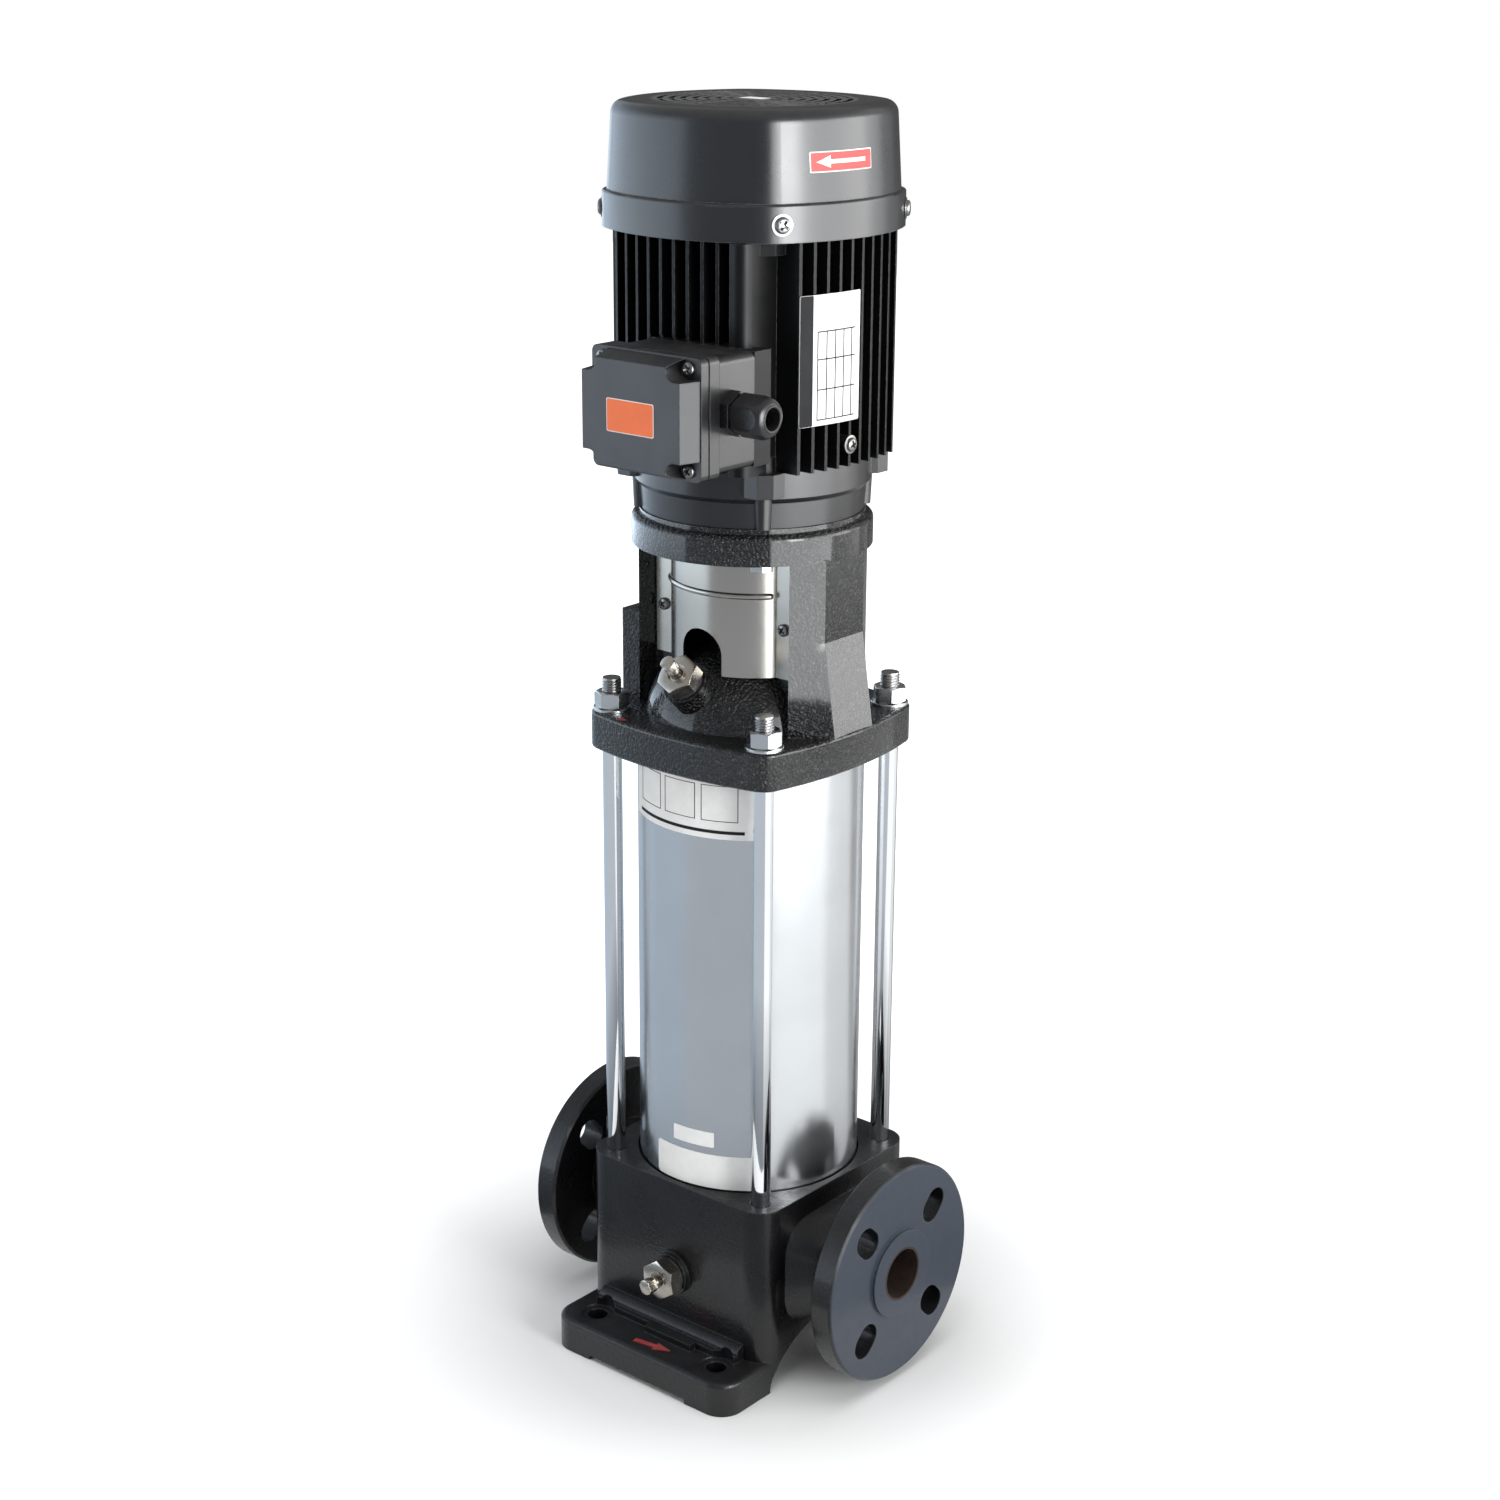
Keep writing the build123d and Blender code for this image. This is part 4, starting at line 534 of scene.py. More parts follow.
@dataclass(frozen=True)
class PaintFinish(Finish):
    """Paint on a casting or a pressing, with grain, pale edges for wear and for a painted highlight, and
    a little dust.
    """

    grain: float = 900.0
    pits: float = 0.3
    depth: float = 0.00012
    # Pale edge colour and its amount: rubbed paint, and on the ribs and the fan cover a painted
    # highlight.
    edge_colour: Colour = (0.16, 0.16, 0.17)
    edge_amount: float = 0.25
    edge_radius: float = 0.0012
    dust_colour: Colour = (0.19, 0.18, 0.17)
    dust_amount: float = 0.12
    dulling: float = 0.3
    shade: float = 0.35
    shade_scale: float = 18.0
    shade_depth: float = 0.45

    def dress(self, graph: Graph, shader: bpy.types.Node, effects: Effects) -> None:
        """Uneven colour, pale edges for wear and for a painted highlight, dust and the skin's bump.

        Args:
            graph: The material's graph.
            shader: The Principled BSDF.
            effects: The shared node groups.
        """
        colour = self.worn_and_highlit(graph, effects, self.shaded(graph, effects))
        settled = self.group(graph, effects.dust, Amount=1.0)
        colour = graph.blend(self.dust_and_sheen_share(graph, settled), colour, self.dust_colour)
        graph.wire(colour, shader, "Base Color")
        self.dull_above(graph, shader, settled, self.uneven(graph, effects))
        height = self.group(graph, effects.skin, Grain=self.grain, Pits=self.pits)
        self.bump(graph, shader, height, self.depth, self.rounded(graph, self.edge_radius))

    def shaded(self, graph: Graph, effects: Effects) -> bpy.types.NodeSocket:
        """Wire the paint's colour with its darker patches.

        Args:
            graph: The material's graph.
            effects: The shared node groups.

        Returns:
            The colour's socket.
        """
        patch = self.group(
            graph, effects.mottle, Scale=self.shade_scale, Low=0.0, High=self.shade
        )
        dark = tuple(self.shade_depth * channel for channel in self.colour)
        return graph.blend(patch, self.colour, dark)

    def worn_and_highlit(
        self, graph: Graph, effects: Effects, colour: bpy.types.NodeSocket
    ) -> bpy.types.NodeSocket:
        """Lighten the paint's edges, as rubbed paint and as a painted highlight.

        Args:
            graph: The material's graph.
            effects: The shared node groups.
            colour: The colour's socket.

        Returns:
            The socket of the colour with its edges.
        """
        edge = self.group(
            graph, effects.wear_and_highlight, Radius=self.edge_radius, Amount=self.edge_amount
        )
        return graph.blend(edge, colour, self.edge_colour)

    def dull_above(
        self,
        graph: Graph,
        shader: bpy.types.Node,
        settled: bpy.types.NodeSocket,
        roughness: bpy.types.NodeSocket,
    ) -> None:
        """Take the gloss off where dust has settled.

        Args:
            graph: The material's graph.
            shader: The Principled BSDF.
            settled: Mask of the faces that look up.
            roughness: Roughness of the clean paint.
        """
        rough = graph.maths("ADD", graph.maths("MULTIPLY", settled, self.dulling), roughness, True)
        graph.wire(rough, shader, "Roughness")
        if self.coat > 0:
            graph.wire(graph.spread(settled, 0.0, 1.0, self.coat, 0.0), shader, "Coat Weight")

    def dust_and_sheen_share(self, graph: Graph, settled: bpy.types.NodeSocket) -> bpy.types.NodeSocket:
        """How much of the dust colour shows where dust has settled."""
        return graph.maths("MULTIPLY", settled, self.dust_amount)


@dataclass(frozen=True)
class CoverFinish(PaintFinish):
    """Paint of the fan cover, paler on the rings of its grille: dust, and a painted sheen on their tops.
    """

    grille_r: float = 58.5 * MM
    grille_edge: float = 1 * MM
    # Share of the pale colour in the grille: dust, and a painted sheen on the rings' tops.
    grille_dust_and_sheen: float = 0.5

    def dust_and_sheen_share(self, graph: Graph, settled: bpy.types.NodeSocket) -> bpy.types.NodeSocket:
        """More of the pale colour inside the grille's radius than outside it: dust, and a painted sheen
        on the rings' up-facing faces.

        Args:
            graph: The material's graph.
            settled: Mask of the faces that look up.

        Returns:
            The share of the pale colour, for dust and the painted sheen.
        """
        where = graph.split(graph.place())
        from_axis = graph.hypotenuse(where["X"], where["Y"])
        rim = self.grille_r + self.grille_edge
        amount = graph.spread(from_axis, self.grille_r, rim, self.grille_dust_and_sheen, self.dust_amount)
        return graph.maths("MULTIPLY", settled, amount)


@dataclass(frozen=True)
class BaseFinish(PaintFinish):
    """Paint of the base: rough cast body, turned flanges, rusty port bores."""

    dust_colour: Colour = (0.17, 0.16, 0.15)
    shade_depth: float = 0.4
    flange_start: float = 122.2 * MM
    flange_blend: float = 0.4 * MM
    flange_colour: Colour = (0.02, 0.028, 0.044)
    flange_satin: float = 0.16
    flange_grain: float = 0.12
    rust_colour: Colour = (0.024, 0.009, 0.004)
    scale_colour: Colour = (0.006, 0.004, 0.003)
    rust_roughness: float = 0.4
    rust_start: float = 60 * MM
    rust_blend: float = 2 * MM
    port_height: float = 75 * MM
    bore_r: float = 17.2 * MM
    bore_blend: float = 0.6 * MM
    turned_scale: float = 120.0
    turned_amount: float = 0.4
    turned_shade: float = 0.75
    flake_scale: float = 260.0
    flake_amount: float = 0.7

    def dress(self, graph: Graph, shader: bpy.types.Node, effects: Effects) -> None:
        """Blend body, flange and bore by their place on the casting.

        Args:
            graph: The material's graph.
            shader: The Principled BSDF.
            effects: The shared node groups.
        """
        flange, rust = self.areas(graph)
        turned = self.patches(graph, effects, self.turned_scale, self.turned_amount)
        darker = tuple(self.turned_shade * channel for channel in self.flange_colour)
        face = graph.blend(turned, self.flange_colour, darker)
        colour = graph.blend(flange, self.shaded(graph, effects), face)
        colour = self.worn_and_highlit(graph, effects, colour)
        settled = self.group(graph, effects.dust, Amount=1.0)
        colour = graph.blend(self.dust_and_sheen_share(graph, settled), colour, self.dust_colour)
        flakes = self.patches(graph, effects, self.flake_scale, self.flake_amount)
        brown = graph.blend(flakes, self.rust_colour, self.scale_colour)
        graph.wire(graph.blend(rust, colour, brown), shader, "Base Color")
        rough = graph.maths("MULTIPLY", flange, self.flange_satin)
        rough = graph.maths("ADD", rough, self.uneven(graph, effects))
        rusty = graph.maths("MULTIPLY", rust, self.rust_roughness)
        self.dull_above(graph, shader, settled, graph.maths("ADD", rusty, rough, True))
        height = self.group(graph, effects.skin, Grain=self.grain, Pits=self.pits)
        height = graph.maths(
            "MULTIPLY", height, graph.spread(flange, 0.0, 1.0, 1.0, self.flange_grain)
        )
        self.bump(graph, shader, height, self.depth, self.rounded(graph, self.edge_radius))

    def areas(self, graph: Graph) -> tuple[bpy.types.NodeSocket, bpy.types.NodeSocket]:
        """Masks of the turned flanges and of the rusty port bores.

        Args:
            graph: The material's graph.

        Returns:
            The two masks' sockets.
        """
        where = graph.split(graph.place())
        beside = graph.maths("ABSOLUTE", where["X"])
        flange = graph.spread(
            beside, self.flange_start, self.flange_start + self.flange_blend, 0.0, 1.0
        )
        above = graph.maths("SUBTRACT", where["Z"], self.port_height)
        from_axis = graph.hypotenuse(above, where["Y"])
        in_bore = graph.spread(from_axis, self.bore_r, self.bore_r + self.bore_blend, 1.0, 0.0)
        outside = graph.spread(
            beside, self.rust_start, self.rust_start + self.rust_blend, 0.0, 1.0
        )
        return flange, graph.maths("MULTIPLY", in_bore, outside)


@dataclass(frozen=True)
class MetalFinish(Finish):
    """Bare or plated metal with fine marks."""

    along: float = 6.0
    across: float = 700.0
    streak_depth: float = 0.000006
    tint: Colour = (0.5, 0.48, 0.45)
    tint_amount: float = 0.25
    tint_scale: float = 25.0
    edge_radius: float = 0.0005

    def dress(self, graph: Graph, shader: bpy.types.Node, effects: Effects) -> None:
        """Streaks in the height and stains in the colour.

        Args:
            graph: The material's graph.
            shader: The Principled BSDF.
            effects: The shared node groups.
        """
        patch = self.patches(graph, effects, self.tint_scale, self.tint_amount)
        graph.wire(graph.blend(patch, self.colour, self.tint), shader, "Base Color")
        streak = self.group(
            graph, effects.streaks, Along=self.along, Across=self.across, Low=0.0, High=1.0
        )
        self.bump(graph, shader, streak, self.streak_depth, self.rounded(graph, self.edge_radius))


@dataclass(frozen=True)
class SoftFinish(Finish):
    """Rubber or plastic with a fine moulded grain."""

    grain: float = 1400.0
    pits: float = 0.1
    depth: float = 0.00003
    edge_radius: float = 0.0006
    patch_scale: float = 50.0
    patch_amount: float = 0.5
    patch_gain: float = 1.7
    patch_lift: float = 0.004

    def dress(self, graph: Graph, shader: bpy.types.Node, effects: Effects) -> None:
        """Fine grain and a slight change of shade.

        Args:
            graph: The material's graph.
            shader: The Principled BSDF.
            effects: The shared node groups.
        """
        patch = self.patches(graph, effects, self.patch_scale, self.patch_amount)
        gain, lift = self.patch_gain, self.patch_lift
        lighter = tuple(min(1.0, gain * channel + lift) for channel in self.colour)
        graph.wire(graph.blend(patch, self.colour, lighter), shader, "Base Color")
        height = self.group(graph, effects.skin, Grain=self.grain, Pits=self.pits)
        self.bump(graph, shader, height, self.depth, self.rounded(graph, self.edge_radius))


@dataclass(frozen=True)
class LabelFinish(Finish):
    """Printed film: a plain colour with a faint wrinkle and soiled patches."""

    soil: Colour = (0.55, 0.53, 0.5)
    soil_amount: float = 0.22
    soil_scale: float = 90.0
    grain: float = 260.0
    depth: float = 0.00004

    def dress(self, graph: Graph, shader: bpy.types.Node, effects: Effects) -> None:
        """Soiled patches and a faint wrinkle.

        Args:
            graph: The material's graph.
            shader: The Principled BSDF.
            effects: The shared node groups.
        """
        patch = self.patches(graph, effects, self.soil_scale, self.soil_amount)
        graph.wire(graph.blend(patch, self.colour, self.soil), shader, "Base Color")
        height = self.group(graph, effects.skin, Grain=self.grain, Pits=0.0)
        self.bump(graph, shader, height, self.depth)


class Kind(Enum):
    """The finishes of this object."""

    BASE = "base paint"
    STOOL = "stool paint"
    MOTOR = "motor paint"
    RIBS = "rib paint"
    BOX = "box paint"
    COVER = "cover paint"
    SLEEVE = "sleeve steel"
    GUARD = "guard steel"
    CHROME = "stay bolt chrome"
    ZINC = "zinc plate"
    SCREW = "screw plate"
    THREAD = "cut thread"
    NICKEL = "plug nickel"
    STEEL = "turned steel"
    COPPER = "winding copper"
    CARBON = "seal carbon"
    RUBBER = "seal rubber"
    GLAND = "gland plastic"
    FAN = "fan plastic"
    WHITE = "white film"
    RED = "red film"
    ORANGE = "orange film"
    BRUSHED_RED = "brushed red paint"
    DARK = "dark film"
    PLATE = "plate aluminium"


FINISHES: dict[Kind, Finish] = {
    Kind.BASE: BaseFinish("base_paint", (0.005, 0.005, 0.006), (0.26, 0.36), grain=520.0,
                          pits=0.5, depth=0.00018, edge_amount=0.08, shade=0.5, specular=0.3, coat=0.4,
                          coat_roughness=0.14, dust_amount=0.03),
    Kind.STOOL: PaintFinish("stool_paint", (0.004, 0.004, 0.004), (0.24, 0.34), grain=480.0,
                            pits=0.8, depth=0.0022, edge_amount=0.12, shade=0.5, coat=1.0,
                            specular=0.25, coat_roughness=0.09, dust_amount=0.015, dulling=0.2),
    Kind.MOTOR: PaintFinish("motor_paint", (0.004, 0.004, 0.005), (0.3, 0.38), grain=1500.0,
                            depth=0.00006, edge_amount=0.1, edge_radius=0.0007, coat=0.4,
                            coat_roughness=0.22, dust_amount=0.03),
    # Rib paint: its high edge amount paints a highlight along the rib edges, on top of some wear.
    Kind.RIBS: PaintFinish("rib_paint", (0.003, 0.003, 0.0035), (0.34, 0.42), grain=1500.0,
                           depth=0.00006, edge_amount=0.45, edge_radius=0.0005, specular=0.22,
                           dust_amount=0.02, shade=0.3),
    Kind.BOX: PaintFinish("box_paint", (0.006, 0.006, 0.007), (0.28, 0.36), grain=1500.0,
                          depth=0.00005, edge_amount=0.12, edge_radius=0.0009, coat=0.22,
                          coat_roughness=0.2, dust_amount=0.04),
    # Cover paint: its high edge amount paints a highlight on the grille's rings and the cover's edges, on
    # top of some wear.
    Kind.COVER: CoverFinish("cover_paint", (0.007, 0.008, 0.01), (0.26, 0.32), grain=1700.0,
                            depth=0.00003, edge_amount=0.6, edge_radius=0.0008, coat=0.5,
                            coat_roughness=0.22, dust_amount=0.08, dulling=0.05),
    Kind.SLEEVE: MetalFinish("sleeve_steel", (0.7, 0.72, 0.74), (0.2, 0.24), metallic=1.0,
                             tint_amount=0.12),
    Kind.GUARD: MetalFinish("guard_steel", (0.47, 0.445, 0.405), (0.2, 0.25), metallic=1.0,
                            tint_amount=0.2, streak_depth=0.0000006, edge_radius=0.00015),
    Kind.CHROME: MetalFinish("bolt_chrome", (0.93, 0.95, 0.97), (0.05, 0.08), metallic=1.0,
                             streak_depth=0.000002, tint_amount=0.08),
    Kind.ZINC: MetalFinish("zinc_plate", (0.66, 0.68, 0.69), (0.18, 0.28), metallic=1.0,
                           across=250.0, along=250.0, tint=(0.45, 0.45, 0.43)),
    Kind.SCREW: MetalFinish("screw_plate", (0.28, 0.28, 0.27), (0.24, 0.34), metallic=1.0,
                            across=250.0, along=250.0, tint=(0.16, 0.16, 0.15), tint_amount=0.5),
    Kind.THREAD: MetalFinish("cut_thread", (0.46, 0.46, 0.46), (0.24, 0.36), metallic=1.0,
                             across=420.0, along=420.0, tint=(0.2, 0.19, 0.18), tint_amount=0.5,
                             edge_radius=0.0001),
    Kind.NICKEL: MetalFinish("plug_nickel", (0.58, 0.545, 0.5), (0.2, 0.32), metallic=1.0,
                             across=420.0, along=60.0, streak_depth=0.00001, tint_amount=0.6,
                             tint=(0.28, 0.25, 0.21)),
    Kind.STEEL: MetalFinish("turned_steel", (0.4, 0.4, 0.41), (0.3, 0.42), metallic=1.0),
    Kind.COPPER: MetalFinish("winding_copper", (0.55, 0.25, 0.11), (0.35, 0.5), metallic=1.0,
                             across=900.0, along=900.0, streak_depth=0.0003),
    Kind.CARBON: SoftFinish("seal_carbon", (0.035, 0.035, 0.037), (0.35, 0.5)),
    Kind.RUBBER: SoftFinish("seal_rubber", (0.014, 0.014, 0.014), (0.5, 0.65)),
    Kind.GLAND: SoftFinish("gland_plastic", (0.01, 0.01, 0.011), (0.18, 0.28)),
    Kind.FAN: SoftFinish("fan_plastic", (0.02, 0.02, 0.021), (0.4, 0.55)),
    Kind.WHITE: LabelFinish("white_film", (0.8, 0.8, 0.79), (0.4, 0.5)),
    Kind.RED: LabelFinish("red_film", (0.62, 0.045, 0.04), (0.4, 0.5), soil=(0.4, 0.06, 0.05)),
    Kind.ORANGE: LabelFinish("orange_film", (0.8, 0.13, 0.01), (0.3, 0.4), soil=(0.6, 0.11, 0.02)),
    Kind.BRUSHED_RED: PaintFinish("brushed_red", (0.36, 0.012, 0.012), (0.4, 0.55), grain=700.0,
                                  depth=0.0003, edge_amount=0.5, edge_colour=(0.03, 0.02, 0.02),
                                  shade=0.9),
    Kind.DARK: LabelFinish("dark_film", (0.012, 0.012, 0.013), (0.5, 0.6), specular=0.12,
                           soil=(0.03, 0.03, 0.03)),
    Kind.PLATE: MetalFinish("plate_aluminium", (0.7, 0.7, 0.7), (0.38, 0.48), metallic=0.15,
                            tint_amount=0.15),
}


class Palette:
    """Builds each finish's material once and hands it out."""

    def __init__(self) -> None:
        """Build the shared groups."""
        self.effects = Effects()
        self._made: dict[Kind, bpy.types.Material] = {}

    def material(self, kind: Kind) -> bpy.types.Material:
        """Find the material of a finish.

        Args:
            kind: The finish.

        Returns:
            Its material, built at the first call.
        """
        if kind not in self._made:
            self._made[kind] = FINISHES[kind].material(self.effects)
        return self._made[kind]


# Meshes


def frame_at(origin: Point, axis: Point, across: Point | None = None) -> Matrix:
    """Frame whose z runs along the axis.

    Args:
        origin: Its origin in metres.
        axis: Direction of z.
        across: Direction near its x, or None for any.

    Returns:
        The placing matrix.
    """
    nearly_along = 0.98
    z = Vector(axis).normalized()
    guess = Vector(across) if across is not None else Vector((1, 0, 0))
    if abs(guess.normalized().dot(z)) > nearly_along:
        guess = Vector((0, 1, 0))
    x = (guess - guess.dot(z) * z).normalized()
    y = z.cross(x)
    return Matrix.Translation(origin) @ Matrix((x, y, z)).transposed().to_4x4()


class Shape:
    """A mesh under construction, in metres, from one or more parts."""

    def __init__(self) -> None:
        """Start empty."""
        self.mesh = bmesh.new()

    def rings(
        self,
        rows: Sequence[Sequence[Point]],
        place: Matrix,
        capped: bool = True,
        looped: bool = False,
    ) -> None:
        """Join closed rings of points into a skin.

        Args:
            rows: Rings of equal length, from one end to the other.
            place: Matrix that places the part.
            capped: Whether both ends are closed.
            looped: Whether the last ring joins the first one instead.
        """
        made = [[self.mesh.verts.new(place @ Vector(p)) for p in row] for row in rows]
        following = made[1:] + made[:1] if looped else made[1:]
        for lower, upper in zip(made, following):
            count = len(lower)
            for i in range(count):
                j = (i + 1) % count
                self.mesh.faces.new((lower[i], lower[j], upper[j], upper[i]))
        if capped and not looped:
            self.mesh.faces.new(list(reversed(made[0])))
            self.mesh.faces.new(made[-1])

    def lathe(
        self,
        profile: Sequence[tuple[float, float]],
        place: Matrix,
        sides: int = 48,
        looped: bool = False,
    ) -> None:
        """Turn a profile of (radius, height) about z; ends of radius 0 close to a point.

        Args:
            profile: Points from the lower to the upper end.
            place: Matrix that places the part.
            sides: Points around.
            looped: Whether the profile is a closed loop, as of a tube.
        """
        rows = [
            [self.round(max(radius, POINT_R), height, i, sides) for i in range(sides)]
            for radius, height in profile
        ]
        self.rings(rows, place, looped=looped)

    def hexagon(
        self,
        flats: float,
        height: float,
        place: Matrix,
        hole: float = 0.0,
        ends: tuple[bool, bool] = (False, True),
        turn: float = 0.0,
    ) -> None:
        """Hexagon with turned-off corners, as on a nut.

        Args:
            flats: Width across flats.
            height: Its height.
            place: Matrix that places the part.
            hole: Radius of a through hole, or 0.
            ends: Which ends have their corners turned off, lower and upper.
            turn: Angle of the first corner in degrees.
        """
        sides = 72
        cut_angle, rim_share, least_hole = 28, 0.97, 0.3 * MM
        flat = flats / 2
        rim = rim_share * flat
        inner = max(hole, least_hole)
        slope = math.tan(math.radians(cut_angle))
        rows: list[list[Point]] = [[] for _ in range(6)]
        for i in range(sides):
            angle = 2 * math.pi * i / sides
            inside = (math.degrees(angle) + 30) % 60 - 30
            reach = flat / math.cos(math.radians(30 - abs(inside)))
            drop = (reach - rim) * slope
            low = drop if ends[0] else 0.0
            high = height - drop if ends[1] else height
            c = math.cos(angle + math.radians(turn))
            s = math.sin(angle + math.radians(turn))
            profile = (
                (inner, 0.0), (rim, 0.0), (reach, low), (reach, high), (rim, height), (inner, height),
            )
            for row, (radius, z) in zip(rows, profile):
                row.append((radius * c, radius * s, z))
        self.rings(rows, place, looped=hole > 0)

    def thread(
        self,
        radius: float,
        pitch: float,
        length: float,
        place: Matrix,
        rest: Sequence[tuple[float, float]] = (),
        sides: int = 36,
    ) -> None:
        """Rod along z with a helical thread, and a plain part below it.

        Args:
            radius: Outside radius.
            pitch: Rise of the helix per turn.
            length: Length of the threaded stretch from z = 0 up.
            place: Matrix that places the part.
            rest: Profile of (radius, height) below z = 0, from its lower end.
            sides: Points around.
        """
        depth = 0.6 * pitch
        per_turn = 8
        flank = 2.6
        run_in, run_out = 0.7 * pitch, 0.8 * pitch
        steps = int(length / pitch * per_turn)
        rows = [[self.round(r, z, i, sides) for i in range(sides)] for r, z in rest]
        for step in range(steps + 1):
            z = length * step / steps
            left = length - z
            start = min(1.0, z / run_in) * min(1.0, left / run_out)
            end_slope = max(0.0, 1 - left / run_out) * 0.5 * depth
            row = []
            for i in range(sides):
                phase = (z / pitch - i / sides) % 1.0
                cut = min(1.0, flank * abs(phase - 0.5))
                r = radius - depth * (1 - cut) * start - end_slope
                row.append(self.round(r, z, i, sides))
            rows.append(row)
        self.rings(rows, place)

    @staticmethod
    def round(radius: float, height: float, index: int, sides: int) -> Point:
        """Find a point of a ring.

        Args:
            radius: The ring's radius.
            height: Its height.
            index: Number of the point.
            sides: Points around.

        Returns:
            The point.
        """
        angle = 2 * math.pi * index / sides
        return (radius * math.cos(angle), radius * math.sin(angle), height)

    def slab(
        self, outline: Sequence[tuple[float, float]], thickness: float, place: Matrix
    ) -> None:
        """Flat plate from a counter-clockwise outline in x and y, up from z = 0.

        Args:
            outline: Points of (x, y).
            thickness: Its thickness.
            place: Matrix that places the part.
        """
        self.rings([[(x, y, z) for x, y in outline] for z in (0.0, thickness)], place)

    def sheet(
        self,
        columns: Sequence[tuple[float, float, float]],
        thickness: float,
        surface: Callable[[float, float, float], Point],
    ) -> None:
        """Thin film on a surface, from columns of (u, lower v, upper v).

        Args:
            columns: Columns of the outline, left to right.
            thickness: Thickness of the film.
            surface: Gives the point at u, v and a height above the surface.
        """
        rows = []
        for u, low, high in columns:
            rows.append(
                [
                    surface(u, low, 0.0),
                    surface(u, high, 0.0),
                    surface(u, high, thickness),
                    surface(u, low, thickness),
                ]
            )
        self.rings(rows, Matrix.Identity(4))

    def add(self, mesh: bpy.types.Mesh, place: Matrix) -> None:
        """Append a copy of a finished mesh.

        Args:
            mesh: The finished mesh.
            place: Matrix that places the copy.
        """
        copy = mesh.copy()
        copy.transform(place)
        self.mesh.from_mesh(copy)
        bpy.data.meshes.remove(copy)

    def mesh_data(self, name: str, sharp: float = 32.0) -> bpy.types.Mesh:
        """Finish the mesh.

        Args:
            name: Name of the mesh.
            sharp: Edges that turn by more degrees than this stay sharp.

        Returns:
            The mesh, smooth between its sharp edges.
        """
        bmesh.ops.recalc_face_normals(self.mesh, faces=self.mesh.faces[:])
        data = bpy.data.meshes.new(name)
        self.mesh.to_mesh(data)
        self.mesh.free()
        data.shade_smooth()
        data.set_sharp_from_angle(angle=math.radians(sharp))
        return data


def cut(body: bpy.types.Mesh, tool: bpy.types.Mesh) -> bpy.types.Mesh:
    """Cut a tool out of a body.

    Args:
        body: Closed mesh that is cut.
        tool: Closed mesh that cuts it.

    Returns:
        The cut mesh.
    """
    scene = bpy.context.scene.collection
    target = bpy.data.objects.new("cut_body", body)
    cutter = bpy.data.objects.new("cut_tool", tool)
    scene.objects.link(target)
    scene.objects.link(cutter)
    modifier = target.modifiers.new("cut", "BOOLEAN")
    modifier.operation = "DIFFERENCE"
    modifier.solver = "EXACT"
    modifier.object = cutter
    graph = bpy.context.evaluated_depsgraph_get()
    result = bpy.data.meshes.new_from_object(target.evaluated_get(graph))
    bpy.data.objects.remove(target)
    bpy.data.objects.remove(cutter)
    return result


def rounded_rectangle(
    width: float, height: float, radius: float, steps: int = 6
) -> list[tuple[float, float]]:
    """Outline of a rectangle with round corners about the origin.

    Args:
        width: Its width along x.
        height: Its height along y.
        radius: Radius of the corners.
        steps: Points on each corner, less one.

    Returns:
        The counter-clockwise points.
    """
    points = []
    for corner, (sx, sy) in enumerate(((1, 1), (-1, 1), (-1, -1), (1, -1))):
        for step in range(steps + 1):
            angle = math.pi / 2 * (corner + step / steps)
            points.append(
                (
                    sx * (width / 2 - radius) + radius * math.cos(angle),
                    sy * (height / 2 - radius) + radius * math.sin(angle),
                )
            )
    return points


@dataclass(frozen=True)
class Patch:
    """Rectangle with round corners on a surface, in millimetres along it and up it."""

    left: float
    right: float
    low: float
    high: float
    corner: float = 0.8
    steps: int = 24
    corner_steps: int = 5

    def columns(self) -> list[tuple[float, float, float]]:
        """Cut the patch into columns.

        Returns:
            Columns of (u, lower v, upper v) in metres, for Shape.sheet.
        """
        r = self.corner
        quarter = [
            r * (1 - math.cos(math.pi / 2 * i / self.corner_steps))
            for i in range(self.corner_steps + 1)
        ]
        inner = self.right - self.left - 2 * r
        places = [self.left + step for step in quarter]
        places += [self.left + r + inner * i / self.steps for i in range(1, self.steps)]
        places += [self.right - step for step in reversed(quarter)]
        columns = []
        for u in places:
            beyond = max(0.0, self.left + r - u, u - self.right + r)
            inset = r - math.sqrt(max(0.0, r**2 - beyond**2))
            columns.append((u * MM, (self.low + inset) * MM, (self.high - inset) * MM))
        return columns

    def within(self, rim: float, corner: float) -> Patch:
        """Take a rim off the patch.

        Args:
            rim: Width of the rim.
            corner: Corner radius of what is left.

        Returns:
            The smaller patch.
        """
        return Patch(
            self.left + rim, self.right - rim, self.low + rim, self.high - rim, corner, self.steps
        )


class Surface:
    """The skin of CAD nodes, for films and marks that lie on it."""

    def __init__(self, *nodes: bpy.types.Object) -> None:
        """Gather the nodes' triangles.

        Args:
            nodes: The nodes that the film may lie on.
        """
        points: list[Vector] = []
        faces: list[tuple[int, ...]] = []
        for node in nodes:
            start = len(points)
            points += [vertex.co.copy() for vertex in node.data.vertices]
            faces += [tuple(start + i for i in face.vertices) for face in node.data.polygons]
        self.tree = BVHTree.FromPolygons(points, faces)

    def above(self, origin: Point, direction: Point, height: float) -> Point:
        """Point that height above the skin where a ray meets it.

        Args:
            origin: Where the ray starts, in metres.
            direction: Where it goes.
            height: Height above the skin, back along the ray.

        Returns:
            The point.
        """
        way = Vector(direction).normalized()
        hit = self.tree.ray_cast(Vector(origin), way)[0]
        return tuple(hit - way * height)


